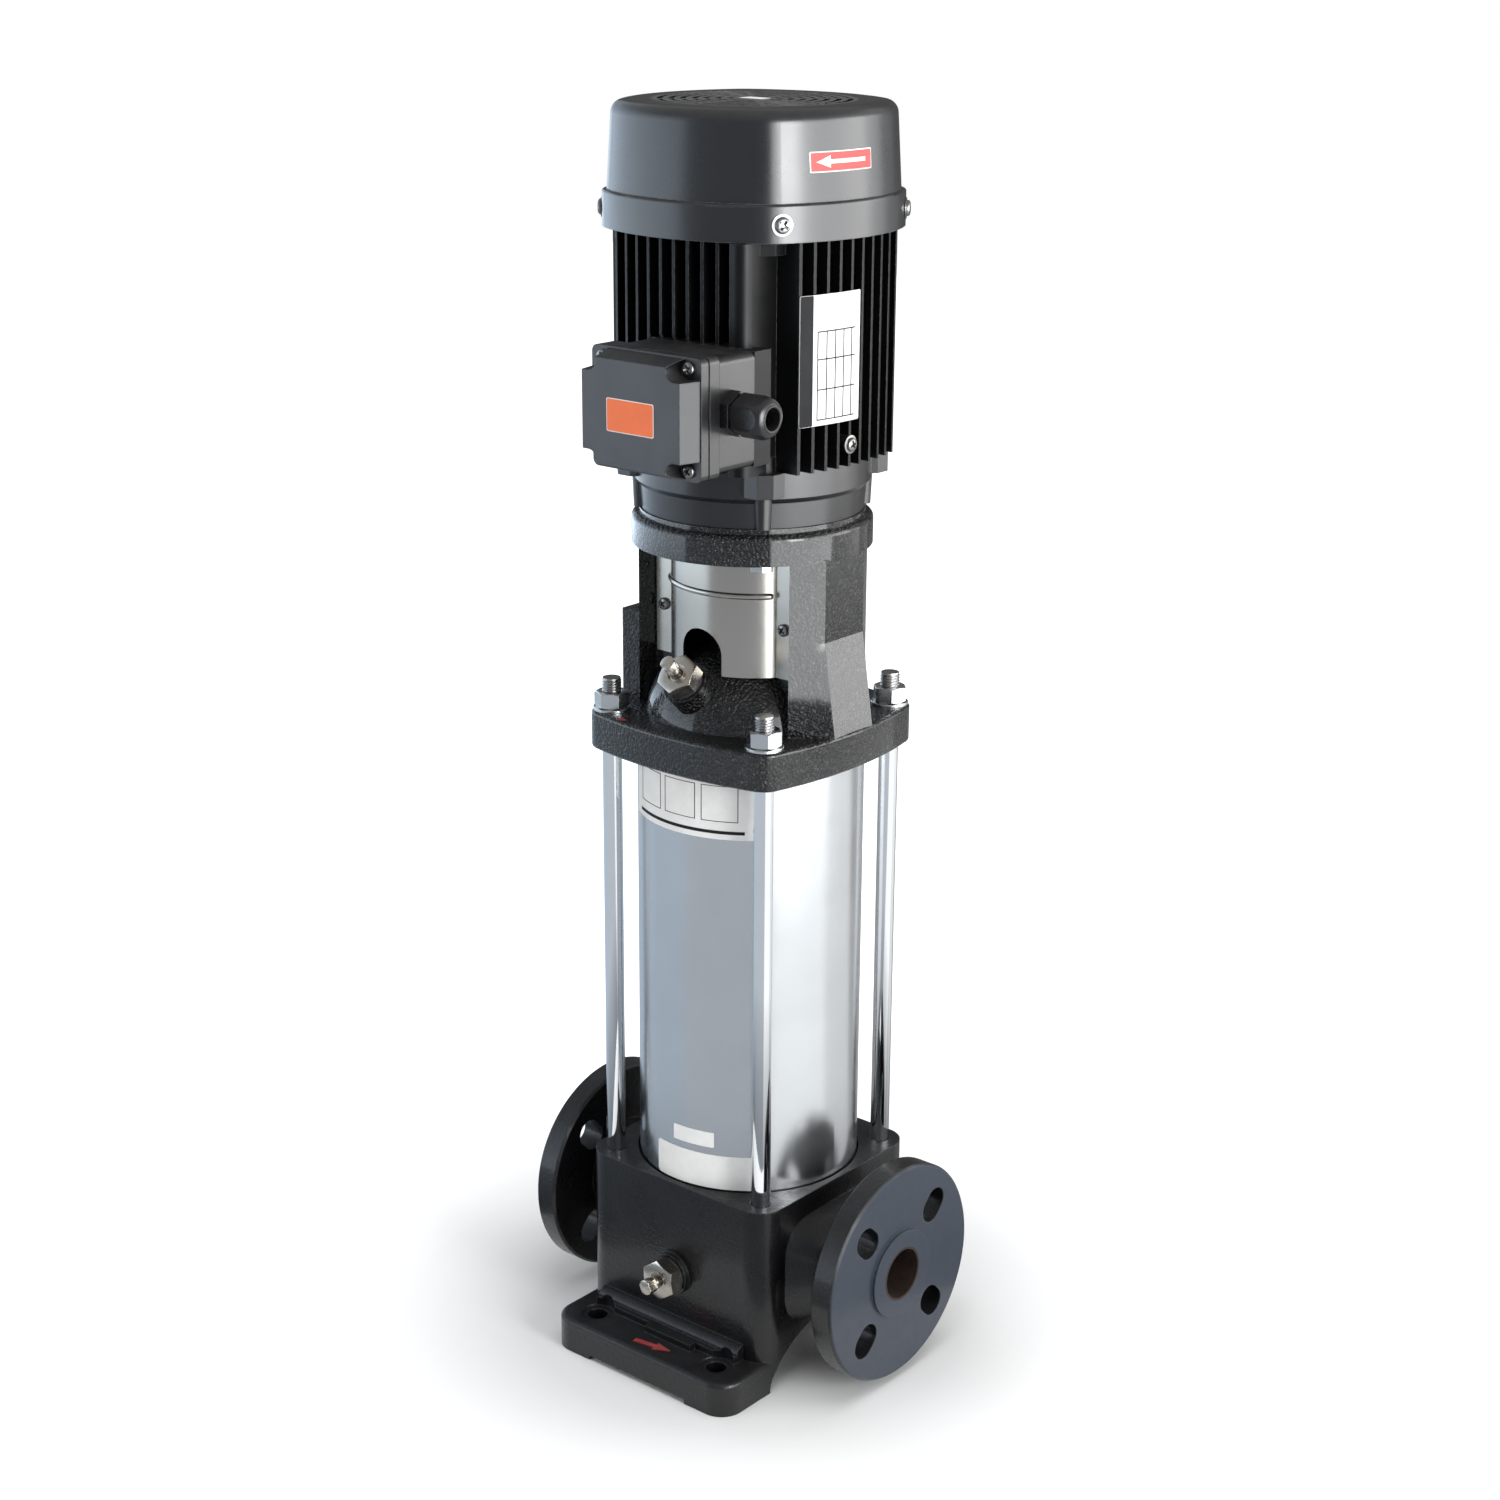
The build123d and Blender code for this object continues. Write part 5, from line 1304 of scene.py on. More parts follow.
class Workshop:
    """Puts finished meshes in the scene, on their bodies and in their finishes."""

    def __init__(self, palette: Palette) -> None:
        """Keep the palette.

        Args:
            palette: Source of the materials.
        """
        self.palette = palette

    def piece(
        self,
        name: str,
        mesh: bpy.types.Mesh,
        kind: Kind,
        slot: str,
        body: str = "pump",
        replaces: Iterable[str] = (),
    ) -> bpy.types.Object:
        """Make an object of a mesh.

        Args:
            name: Name of the piece.
            mesh: Its mesh, in the row frame.
            kind: Its finish.
            slot: The record's material slot that it goes with; not used.
            body: The CAD body that it rides on.
            replaces: CAD nodes that it stands for.

        Returns:
            The new object.
        """
        made = bpy.data.objects.new(name, mesh)
        bpy.context.scene.collection.objects.link(made)
        mesh.materials.clear()
        mesh.materials.append(self.palette.material(kind))
        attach(made, body)
        nodes = list(replaces)
        if nodes:
            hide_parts(*nodes)
        LOG.info("piece %s on %s", name, body)
        return made

    def dress(self, node: bpy.types.Object, kind: Kind) -> None:
        """Give a CAD node its finish."""
        for slot in node.material_slots:
            slot.material = self.palette.material(kind)


# Sub-assemblies


@dataclass
class Frame:
    """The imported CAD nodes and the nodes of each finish."""

    nodes: dict[str, bpy.types.Object]
    finishes: dict[Kind, tuple[str, ...]] = field(
        default_factory=lambda: {
            Kind.BASE: ("base_casting",),
            Kind.STOOL: ("motor_stool",),
            Kind.RIBS: ("motor_frame",),
            Kind.MOTOR: ("drive_endshield", "fan_endshield"),
            Kind.BOX: ("terminal_box", "terminal_lid"),
            Kind.COVER: ("fan_cover",),
            Kind.GUARD: ("coupling_guard_front", "coupling_guard_rear"),
            Kind.CHROME: ("stay_bolts",),
            Kind.ZINC: (
                "stay_bolt_nuts", "stay_bolt_washers", "motor_bolts", "tie_bolts",
                "fan_cover_screws", "lid_screws", "guard_screws", "coupling_screws",
            ),
            Kind.NICKEL: ("drain_plug", "vent_plug", "drain_spindle", "vent_spindle"),
            Kind.RUBBER: ("plug_washers", "sleeve_o_rings", "terminal_gasket", "gland_seal"),
            Kind.GLAND: ("gland_body", "gland_nut"),
            Kind.FAN: ("cooling_fan", "terminal_block"),
            Kind.COPPER: ("stator_windings",),
            Kind.CARBON: ("seal_ring", "seal_seat"),
            Kind.STEEL: (
                "motor_shaft", "motor_bearings", "rotor_core", "stator_core", "shaft_coupling",
            ),
        }
    )

    def dress(self, shop: Workshop) -> None:
        """Dress every node; the ones not named are of stainless sheet and bar.

        Args:
            shop: Where the pieces are finished.
        """
        kinds = {name: kind for kind, names in self.finishes.items() for name in names}
        for name, node in self.nodes.items():
            shop.dress(node, kinds.get(name, Kind.SLEEVE))
        LOG.info("dressed %d nodes", len(self.nodes))


@dataclass
class StayBolts:
    """Four polished rods with threaded ends, their nuts and washers."""

    rod_r: float = 6 * MM
    offset: float = 60 * MM
    bottom: float = 97 * MM
    thread_start: float = 424 * MM
    top: float = 438.4 * MM
    pitch: float = 1.75 * MM
    washer_z: float = 418.5 * MM
    washer_r: float = 11.5 * MM
    washer: float = 1.8 * MM
    nut_flats: float = 18.5 * MM
    nut: float = 9.6 * MM
    nut_turn: float = 15
    nut_turn_step: float = 7
    loose: float = 0.3 * MM
    tight: float = 0.05 * MM
    edge: float = 0.35 * MM
    rod_end: tuple[float, float] = (0.5 * MM, 0.8 * MM)
    thread_root: tuple[float, float] = (0.1 * MM, 0.6 * MM)

    def build(self, shop: Workshop) -> None:
        """Build rods, cut threads, nuts and washers.

        Args:
            shop: Where the pieces are finished.
        """
        rods, threads, nuts, washers = Shape(), Shape(), Shape(), Shape()
        for number, (x, y) in enumerate(corners(self.offset, self.offset)):
            axis = frame_at((x, y, 0), (0, 0, 1))
            self._rod(rods, threads, axis)
            nuts.hexagon(
                self.nut_flats,
                self.nut,
                axis @ Matrix.Translation((0, 0, self.washer_z + self.washer)),
                hole=self.rod_r + self.tight,
                ends=(True, True),
                turn=self.nut_turn + self.nut_turn_step * number,
            )
            hole, rim = self.rod_r + self.loose, self.washer - self.edge
            washers.lathe(
                [
                    (hole, 0),
                    (self.washer_r, 0),
                    (self.washer_r, rim),
                    (self.washer_r - self.edge, self.washer),
                    (hole, self.washer),
                ],
                axis @ Matrix.Translation((0, 0, self.washer_z)),
                looped=True,
            )
        for name, shape, kind, slot, replaces in (
            ("stay_rods", rods, Kind.CHROME, "chrome", ["stay_bolts"]),
            ("stay_threads", threads, Kind.THREAD, "chrome", []),
            ("stay_nuts", nuts, Kind.ZINC, "zinc", ["stay_bolt_nuts"]),
            ("stay_washers", washers, Kind.ZINC, "zinc", ["stay_bolt_washers"]),
        ):
            shop.piece(name, shape.mesh_data(name), kind, slot, replaces=replaces)

    def _rod(self, rods: Shape, threads: Shape, axis: Matrix) -> None:
        """Add one bolt's plain rod and the cut thread on top of it.

        Args:
            rods: Shape that the rod goes to.
            threads: Shape that the thread goes to.
            axis: The bolt's frame, with its origin on the floor.
        """
        chamfer, chamfer_height = self.rod_end
        inset, gap = self.thread_root
        low, high = self.bottom, self.thread_start - gap
        rods.lathe(
            [
                (0.0, low),
                (self.rod_r - chamfer, low),
                (self.rod_r, low + chamfer_height),
                (self.rod_r, high),
                (0.0, high),
            ],
            axis,
        )
        threads.thread(
            self.rod_r,
            self.pitch,
            self.top - self.thread_start,
            axis @ Matrix.Translation((0, 0, self.thread_start)),
            rest=((self.rod_r - inset, -gap), (self.rod_r, -gap + 0.2 * MM)),
            sides=48,
        )


@dataclass
class Plug:
    """Hexagon plug and the flatted spindle that turns in it."""

    name: str
    seat: Point
    axis: Point
    body: str
    turn: float
    spindle_turn: float
    flats: float = 23 * MM
    hexagon: float = 9 * MM
    washer: float = 1.5 * MM
    thread_r: float = 8 * MM
    thread: float = 14 * MM
    bore: float = 3.56 * MM
    spindle_r: float = 3.5 * MM
    spindle_depth: float = 18 * MM
    neck: float = 4.5 * MM
    head_r: float = 5 * MM
    head: float = 7 * MM
    head_flats: float = 8 * MM
    dish: float = 0.9 * MM
    hole_gap: float = 0.7 * MM
    edge: float = 0.5 * MM
    facet: float = 30

    def build(self, shop: Workshop, slot: str = "nickel") -> None:
        """Build plug and spindle.

        Args:
            shop: Where the pieces are finished.
            slot: The record's material slot.
        """
        place = frame_at(self.seat, self.axis, (1, 0, 0))
        body = Shape()
        up = place @ Matrix.Translation((0, 0, self.washer))
        body.hexagon(
            self.flats, self.hexagon, up, hole=self.head_r + 0.6 * MM, ends=(False, True), turn=self.turn
        )
        foot, rim = -self.washer - self.thread, self.head_r + self.hole_gap
        body.lathe(
            [
                (self.bore, foot),
                (self.thread_r, foot),
                (self.thread_r, 0.2 * MM),
                (rim, 0.2 * MM),
                (rim, self.hexagon - 1.4 * self.dish),
                (self.bore + 0.5 * MM, self.hexagon - self.dish),
                (self.bore, self.hexagon - 1.5 * self.dish),
            ],
            up,
            looped=True,
        )
        shop.piece(
            f"{self.name}_body", body.mesh_data(f"{self.name}_body"), Kind.NICKEL, slot,
            replaces=[f"{self.name}_plug"],
        )
        self._spindle(shop, up @ Matrix.Rotation(math.radians(self.spindle_turn), 4, "Z"), slot)

    def _spindle(self, shop: Workshop, up: Matrix, slot: str) -> None:
        """Build the spindle: stem, groove and a head with two flats.

        Args:
            shop: Where the pieces are finished.
            up: Frame of the plug's top.
            slot: The record's material slot.
        """
        neck, foot = self.hexagon + self.neck, -self.spindle_depth + self.hexagon
        edge = self.edge
        stem = Shape()
        stem.lathe(
            [
                (0.0, foot),
                (0.6 * self.spindle_r, foot),
                (self.spindle_r, foot + 3 * MM),
                (self.spindle_r, neck - 1.4 * MM),
                (0.86 * self.spindle_r, neck - 1.1 * MM),
                (0.86 * self.spindle_r, neck - 0.3 * MM),
                (0.9 * self.spindle_r, neck),
                (self.head_r - edge, neck),
                (self.head_r, neck + edge),
                (self.head_r, neck + self.head - 1.6 * edge),
                (self.head_r - 0.5 * edge, neck + self.head - 0.6 * edge),
                (self.head_r - 1.6 * edge, neck + self.head),
                (0.0, neck + self.head),
            ],
            up,
        )
        mesh = stem.mesh_data("stem")
        for side in (1, -1):
            tool = Shape()
            reach = side * (self.head_flats / 2 + self.head_r)
            width = rounded_rectangle(2 * self.head_r, 4 * self.head_r, 0.2 * MM)
            tool.slab(width, 2 * self.head, up @ Matrix.Translation((reach, 0, neck - 0.2 * MM)))
            mesh = cut(mesh, tool.mesh_data("flat"))
        mesh.set_sharp_from_angle(angle=math.radians(self.facet))
        shop.piece(
            f"{self.name}_stem", mesh, Kind.NICKEL, slot, body=self.body,
            replaces=[f"{self.name}_spindle"],
        )


@dataclass
class PanScrews:
    """Pan-head screws with a cross recess, all of one size."""

    name: str
    places: list[tuple[Point, Point]]
    head_r: float
    head: float
    shank_r: float
    length: float
    replaces: list[str]
    collar: float = 0.0
    kind: Kind = Kind.SCREW
    slot: str = "zinc"

    def build(self, shop: Workshop) -> None:
        """Build one screw and place the copies.

        Args:
            shop: Where the pieces are finished.
        """
        first_turn, next_turn = 20, 37
        mesh = self._screw()
        for quarter in (0, 1):
            mesh = cut(mesh, self._blade(quarter))
        screws = Shape()
        for number, (seat, axis) in enumerate(self.places):
            spin = Matrix.Rotation(math.radians(first_turn + next_turn * number), 4, "Z")
            screws.add(mesh, frame_at(seat, axis, (0, 0, 1)) @ spin)
        shop.piece(
            self.name, screws.mesh_data(self.name), self.kind, self.slot, replaces=self.replaces
        )

    def _screw(self) -> bpy.types.Mesh:
        """Turn the screw: shank, rim or collar, and a domed head.

        Returns:
            Its mesh, with the seat at z = 0.
        """
        r, h, base = self.head_r, self.head, 0.2 * self.head
        profile = [
            (0.0, -self.length),
            (0.6 * self.shank_r, -self.length),
            (self.shank_r, -self.length + 0.6 * self.shank_r),
            (self.shank_r, 0.0),
        ]
        if self.collar:
            profile += [(self.collar, 0.0), (self.collar, 0.7 * base), (r, base)]
        else:
            profile.append((r - 0.1 * MM, 0.0))
        dome = ((1, 0.45), (0.96, 0.66), (0.86, 0.83), (0.68, 0.94), (0.35, 1), (0, 1.005))
        profile += [(r, base)] + [(out * r, up * h) for out, up in dome]
        screw = Shape()
        screw.lathe(profile, Matrix.Identity(4))
        return screw.mesh_data("screw")

    def _blade(self, quarter: int) -> bpy.types.Mesh:
        """Make the tapered blade that cuts one slot of the cross recess.

        Args:
            quarter: Quarter turns about z.

        Returns:
            The blade's mesh.
        """
        wide, slim = 1.15 * 1.25 * self.head_r, 0.36 * self.head_r
        low, high = 0.12 * self.head, 1.1 * self.head
        tapered = 0.45
        rows = []
        for scale, z in ((tapered, low), (1.0, high)):
            rows.append(
                [
                    (sx * scale * wide / 2, sy * (0.7 + 0.3 * scale) * slim / 2, z)
                    for sx, sy in ((1, 1), (-1, 1), (-1, -1), (1, -1))
                ]
            )
        blade = Shape()
        blade.rings(rows, Matrix.Rotation(math.pi / 2 * quarter, 4, "Z"))
        return blade.mesh_data("cross")


@dataclass
class Gland:
    """Dome nut of the cable gland, with the rim of its mouth."""

    back: Point = (71.5 * MM, -94 * MM, 620 * MM)
    flats: float = 22 * MM
    hexagon: float = 13.5 * MM
    length: float = 20.5 * MM
    end_r: float = 7.6 * MM
    mouth_r: float = 6.2 * MM
    barrel_r: float = 9.6 * MM
    barrel: float = 12.2 * MM
    sides: int = 96
    dome_start: float = 0.78
    corner_share: float = 1.12
    dome_share: float = 1.14
    dome_power: float = 2.1
    foot_shrink: float = 0.96
    lip: float = 0.5 * MM

    def outer(self, angle: float, height: float) -> float:
        """Radius of the skin: hexagon below, dome above, the smaller where they cross.

        Args:
            angle: Angle round the axis.
            height: Height above the nut's foot.

        Returns:
            The radius.
        """
        inside = abs((math.degrees(angle) + 30) % 60 - 30)
        flat = self.flats / 2
        hexagon = min(flat / math.cos(math.radians(30 - inside)), self.corner_share * flat)
        start = self.dome_start * self.hexagon
        if height <= start:
            return hexagon
        along = (height - start) / (self.length - start)
        bulge = math.sqrt(max(0.0, 1 - along**self.dome_power))
        return min(hexagon, self.end_r + (self.dome_share * flat - self.end_r) * bulge)

    def build(self, shop: Workshop) -> None:
        """Build the nut.

        Args:
            shop: Where the piece is finished.
        """
        end, lip = self.length, self.lip
        start = self.hexagon * self.dome_start
        heights = [0.0, 0.35 * MM, 0.7 * self.hexagon]
        heights += [start + (end - start) * i / 14 for i in range(15)]
        rows = []
        for index, height in enumerate(heights):
            shrink = self.foot_shrink if index == 0 else 1.0
            row = []
            for i in range(self.sides):
                r = self.outer(2 * math.pi * i / self.sides, height) * shrink
                row.append(Shape.round(r, height, i, self.sides))
            rows.append(row)
        for radius, height in (
            (self.end_r - 0.2 * lip, end + 0.5 * lip),
            (self.end_r - 0.5 * lip, end + lip),
            (self.mouth_r + lip, end + lip),
            (self.mouth_r, end),
            (self.mouth_r, self.barrel + 1 * MM),
            (self.mouth_r, self.barrel),
            (self.barrel_r, self.barrel),
            (self.barrel_r, 0.0),
        ):
            rows.append([Shape.round(radius, height, i, self.sides) for i in range(self.sides)])
        nut = Shape()
        nut.rings(rows, frame_at(self.back, (1, 0, 0), (0, 0, 1)), looped=True)
        shop.piece(
            "gland_dome_nut", nut.mesh_data("gland_dome_nut", 40), Kind.GLAND, "gland_plastic",
            replaces=["gland_nut"],
        )


@dataclass
class Films:
    """Stickers, plates and paint marks, all without words or numbers."""

    nodes: dict[str, bpy.types.Object]
    sleeve_r: float = 69.5 * MM
    lift: float = 0.12 * MM
    film: float = 0.12 * MM
    between: float = 0.02 * MM
    upper: Patch = Patch(-46, 51.4, 356, 394, 1.5, 40)
    box_starts: tuple[float, ...] = (-36, -9, 18)
    box_width: float = 23
    box_low: float = 367
    box_high: float = 389.4
    rule: float = 0.4
    underline: Patch = Patch(-38, 45, 359.4, 361.4, 0.3)
    lower: Patch = Patch(-17, 54.6, 126, 148.5, 2.4, 30)
    small: Patch = Patch(-2.4, 26.7, 153.5, 163.5, 0.8, 16)
    turning: Patch = Patch(-38.3, 7.6, 744.9, 756.2)
    turning_rim: float = 0.7
    turning_tip: float = 4
    turning_neck: float = 13
    turning_tail: float = 6
    lid: Patch = Patch(8.2, 42.8, 609, 627.6, 1.2)
    lid_rim: float = 0.5
    plate: Patch = Patch(-45, 1, 605, 678.5, 1)
    plate_x: float = 76.6 * MM
    plate_bow_r: float = 160 * MM
    plate_thickness: float = 0.5 * MM
    plate_strip: float = 9
    plate_rule: float = 0.7
    plate_rule_start: float = 3
    plate_rule_pitch: float = 6.6
    plate_columns: int = 5
    plate_margin: float = 4.3
    plate_rule_heights: tuple[float, ...] = (608, 625, 642, 657.5)
    grille: Patch = Patch(-8, 8, -5, 5, 0.8, 8)
    flow_tail: Point = (-9.2 * MM, -100.2 * MM, 0)
    flow_tip: Point = (17.7 * MM, -96.1 * MM, 0)
    flow_levels: tuple[tuple[float, float], ...] = ((0.0, 21.9), (0.0, 22.7), (0.25, 22.95))
    dab: tuple[float, float] = (-39.7 * MM, -73 * MM)
    dab_reach: float = 3.4 * MM

    def build(self, shop: Workshop) -> None:
        """Build every film and mark.

        Args:
            shop: Where the pieces are finished.
        """
        self.sleeve_films(shop)
        self.cover_arrow(shop)
        self.lid_patch(shop)
        self.rating_plate(shop)
        self.flow_arrow(shop)
        self.centre_sticker(shop)
        self.paint_mark(shop)

    def _film(
        self,
        shop: Workshop,
        name: str,
        kind: Kind,
        slot: str,
        parts: Iterable[Patch | Sequence[tuple[float, float, float]]],
        surface: Callable[[float, float, float], Point],
        level: int = 0,
        thickness: float | None = None,
    ) -> None:
        """Make one piece of films on a surface.

        Args:
            shop: Where the piece is finished.
            name: Name of the piece.
            kind: Its finish.
            slot: The record's material slot.
            parts: Patches, or the columns of other outlines.
            surface: The surface that they lie on.
            level: How many films lie below these.
            thickness: Thickness, or None for that of a film.
        """
        depth = self.film if thickness is None else thickness
        base = self.lift + level * (self.film + self.between)
        shape = Shape()
        for part in parts:
            columns = part.columns() if isinstance(part, Patch) else part
            shape.sheet(columns, depth, lambda u, v, h: surface(u, v, h + base))
        shop.piece(name, shape.mesh_data(name), kind, slot)

    def sleeve_films(self, shop: Workshop) -> None:
        """Build the blank films on the outer sleeve, with ruled boxes on the upper one.

        Args:
            shop: Where the pieces are finished.
        """
        skin = Surface(self.nodes["outer_sleeve"])
        out = 0.2

        def wrap(u: float, v: float, height: float) -> Point:
            """Point on the sleeve at a distance round it from the front and a height."""
            c, s = math.cos(u / self.sleeve_r), math.sin(u / self.sleeve_r)
            return skin.above((out * s, -out * c, v), (-s, c, 0.0), height)

        self._film(shop, "upper_sleeve_film", Kind.WHITE, "stainless", [self.upper], wrap)
        rules = []
        for left in self.box_starts:
            right = left + self.box_width
            for low in (self.box_low, self.box_high - self.rule):
                rules.append(Patch(left, right, low, low + self.rule, 0.1, 8))
            for edge in (left, right - self.rule):
                rules.append(
                    Patch(edge, edge + self.rule, self.box_low, self.box_high, 0.05, 2)
                )
        rules.append(self.underline)
        self._film(shop, "upper_film_rules", Kind.DARK, "stainless", rules, wrap, level=1)
        self._film(shop, "lower_sleeve_film", Kind.WHITE, "stainless", [self.lower], wrap)
        self._film(shop, "small_sleeve_film", Kind.WHITE, "stainless", [self.small], wrap)

    def cover_arrow(self, shop: Workshop) -> None:
        """Build the red film with a white arrow for the direction of turning.

        Args:
            shop: Where the pieces are finished.
        """
        skin = Surface(self.nodes["fan_cover"])

        beside = 0.2

        def side(u: float, v: float, height: float) -> Point:
            """Point on the cover's side at y and z."""
            return skin.above((beside, u, v), (-1, 0, 0), height)

        film = self.turning
        self._film(shop, "turning_film_rim", Kind.WHITE, "cover_paint", [film], side)
        red = film.within(self.turning_rim, 0.5)
        self._film(shop, "turning_film", Kind.RED, "cover_paint", [red], side, level=1)
        mid = (film.low + film.high) / 2 * MM
        tip, neck = (film.left + self.turning_tip) * MM, (film.left + self.turning_neck) * MM
        tail = (film.right - self.turning_tail) * MM
        half, stem, point = 3.4 * MM, 1.15 * MM, 0.02
        head = []
        for i in range(7):
            reach = half * max(point, i / 6)
            head.append((tip + (neck - tip) * i / 6, mid - reach, mid + reach))
        shaft = [(neck + (tail - neck) * i / 8, mid - stem, mid + stem) for i in range(9)]
        self._film(shop, "turning_arrow", Kind.WHITE, "cover_paint", [head, shaft], side, level=2)

    def lid_patch(self, shop: Workshop) -> None:
        """Build the plain orange patch on the terminal lid.

        Args:
            shop: Where the pieces are finished.
        """
        skin = Surface(self.nodes["terminal_lid"])
        before = -0.3

        def face(u: float, v: float, height: float) -> Point:
            """Point on the lid's face at x and z."""
            return skin.above((u, before, v), (0, 1, 0), height)

        self._film(shop, "lid_patch_rim", Kind.WHITE, "motor_paint", [self.lid], face)
        orange = self.lid.within(self.lid_rim, 1.0)
        self._film(shop, "lid_patch", Kind.ORANGE, "motor_paint", [orange], face, level=1)

    def rating_plate(self, shop: Workshop) -> None:
        """Build the blank ruled plate over the ribs of the frame.

        Args:
            shop: Where the pieces are finished.
        """
        plate, rule, above = self.plate, self.plate_rule, 0.45 * MM

        def bow(u: float, v: float, height: float) -> Point:
            """Point on the plate at y and z; the plate follows the tips of the ribs."""
            return (self.plate_x - u * u / (2 * self.plate_bow_r) + height, u, v)

        def face(u: float, v: float, height: float) -> Point:
            """Point on the plate's face."""
            return bow(u, v, height + above)

        self._film(
            shop, "rating_plate", Kind.PLATE, "zinc", [plate], bow, thickness=self.plate_thickness
        )
        split = plate.left + self.plate_strip
        strip = Patch(plate.left + 0.1, split, plate.low + 0.2, plate.high - 0.2, 0.8, 6)
        low, *_, high = self.plate_rule_heights
        start, end = split + self.plate_rule_start, plate.right - self.plate_margin
        rules = []
        for number in range(self.plate_columns):
            at = start + self.plate_rule_pitch * number
            rules.append(Patch(at, at + rule, low, high, 0.05, 2))
        for at in self.plate_rule_heights:
            rules.append(Patch(start, end, at, at + rule, 0.1, 8))
        self._film(shop, "rating_plate_strip", Kind.DARK, "zinc", [strip], face)
        self._film(shop, "rating_plate_rules", Kind.DARK, "zinc", rules, face)

    def flow_arrow(self, shop: Workshop) -> None:
        """Build the raised arrow on the front foot, brushed with red paint.

        Args:
            shop: Where the pieces are finished.
        """
        tail, tip = Vector(self.flow_tail), Vector(self.flow_tip)
        way = (tip - tail).normalized()
        across = Vector((-way.y, way.x, 0))
        length = (tip - tail).length
        neck, half, stem, notch, barb = 0.6 * length, 4.2 * MM, 1.7 * MM, 0.4 * MM, 0.8 * MM
        outline = [
            (0, stem), (notch, notch), (0, -stem), (neck, -stem), (neck - barb, -half),
            (length, 0), (neck - barb, half), (neck, stem),
        ]
        rows = []
        for inset, height in self.flow_levels:
            shrink = 1 - inset * MM / half
            row = []
            for u, v in outline:
                point = tail + way * (length / 2 + (u - length / 2) * shrink) + across * v * shrink
                row.append((point.x, point.y, height * MM))
            rows.append(row)
        shape = Shape()
        shape.rings(rows, Matrix.Identity(4))
        shop.piece("flow_arrow", shape.mesh_data("flow_arrow"), Kind.BRUSHED_RED, "cast_iron")

    def centre_sticker(self, shop: Workshop) -> None:
        """Build the small blank film on the middle of the grille.

        Args:
            shop: Where the pieces are finished.
        """
        skin = Surface(self.nodes["fan_cover"])
        over = 0.9

        def top(u: float, v: float, height: float) -> Point:
            """Point on the cover's top at x and y."""
            return skin.above((u, v, over), (0, 0, -1), height)

        self._film(shop, "grille_film", Kind.WHITE, "cover_paint", [self.grille], top)

    def paint_mark(self, shop: Workshop) -> None:
        """Build the dab of red paint on the stool flange.

        Args:
            shop: Where the pieces are finished.
        """
        skin = Surface(self.nodes["motor_stool"])
        x, y = self.dab
        slim, least, uneven, over = 0.55, 0.03, 0.25, 0.43

        def top(u: float, v: float, height: float) -> Point:
            """Point on the flange's top at x and y."""
            return skin.above((u, v, over), (0, 0, -1), height)

        columns = []
        for i in range(13):
            u = -1 + 2 * i / 12
            half = self.dab_reach * slim * math.sqrt(max(least, 1 - u * u))
            half *= 1 + uneven * math.sin(7 * u)
            columns.append((x + self.dab_reach * u, y - half, y + half))
        self._film(shop, "paint_mark", Kind.BRUSHED_RED, "cast_iron", [columns], top)


@dataclass(frozen=True)
class Card:
    """Arc of card round the set, lying out from the object and then standing up.

    Only gloss sees it: it gives the reflections their light and dark bands.
    """

    name: str
    start: float
    end: float
    levels: tuple[float, float, float, float, float, float]
    height: float = 1.5
    tint: Colour = (1.0, 1.0, 1.0)
    knots: tuple[float, float, float, float] = (0.2, 0.42, 1.25, 1.6)
    radius: float = 2.3

    def build(self) -> None:
        """Build the sheet, with a glow that changes from its near edge to its top."""
        level = 0.0015
        mesh = bmesh.new()
        steps = 24
        made = []
        for i in range(steps + 1):
            angle = math.radians(self.start + (self.end - self.start) * i / steps)
            made.append(
                [
                    mesh.verts.new((r * math.sin(angle), -r * math.cos(angle), z))
                    for r, z in ((self.knots[0], level), (self.radius, level), (self.radius, self.height))
                ]
            )
        for first, second in zip(made, made[1:]):
            for low in (0, 1):
                mesh.faces.new((first[low], second[low], second[low + 1], first[low + 1]))
        glow_sheet(self.name, mesh, self.tint, self._strength)

    def _strength(self, graph: Graph) -> bpy.types.NodeSocket:
        """Wire the strength along the sheet, out over the floor through the knots and then up.

        Args:
            graph: The sheet's graph.

        Returns:
            The strength's socket.
        """
        where = graph.split(graph.place())
        path = graph.maths("ADD", graph.hypotenuse(where["X"], where["Y"]), where["Z"])
        places = (*self.knots, self.radius, self.radius + self.height)
        total: bpy.types.NodeSocket | float = self.levels[0]
        for index in range(len(places) - 1):
            rise = self.levels[index + 1] - self.levels[index]
            step = graph.spread(path, places[index], places[index + 1], 0.0, rise)
            total = graph.maths("ADD", step, total)
        return total


def glow_sheet(
    name: str,
    mesh: bmesh.types.BMesh,
    tint: Colour,
    levels: Callable[[Graph], bpy.types.NodeSocket],
) -> None:
    """Make a glowing sheet of the set that only gloss sees.

    Args:
        name: Name of the sheet.
        mesh: Its mesh, which is freed.
        tint: Colour of its light.
        levels: Wires its strength and returns the socket.
    """
    card, graph = stage_sheet(name, mesh)
    glow = graph.add("ShaderNodeEmission", Color=(*tint, 1))
    graph.wire(levels(graph), glow, "Strength")
    graph.show(glow)
    card.visible_camera = False
    card.visible_diffuse = False
    card.visible_shadow = False
    card.visible_transmission = False
    card.visible_volume_scatter = False


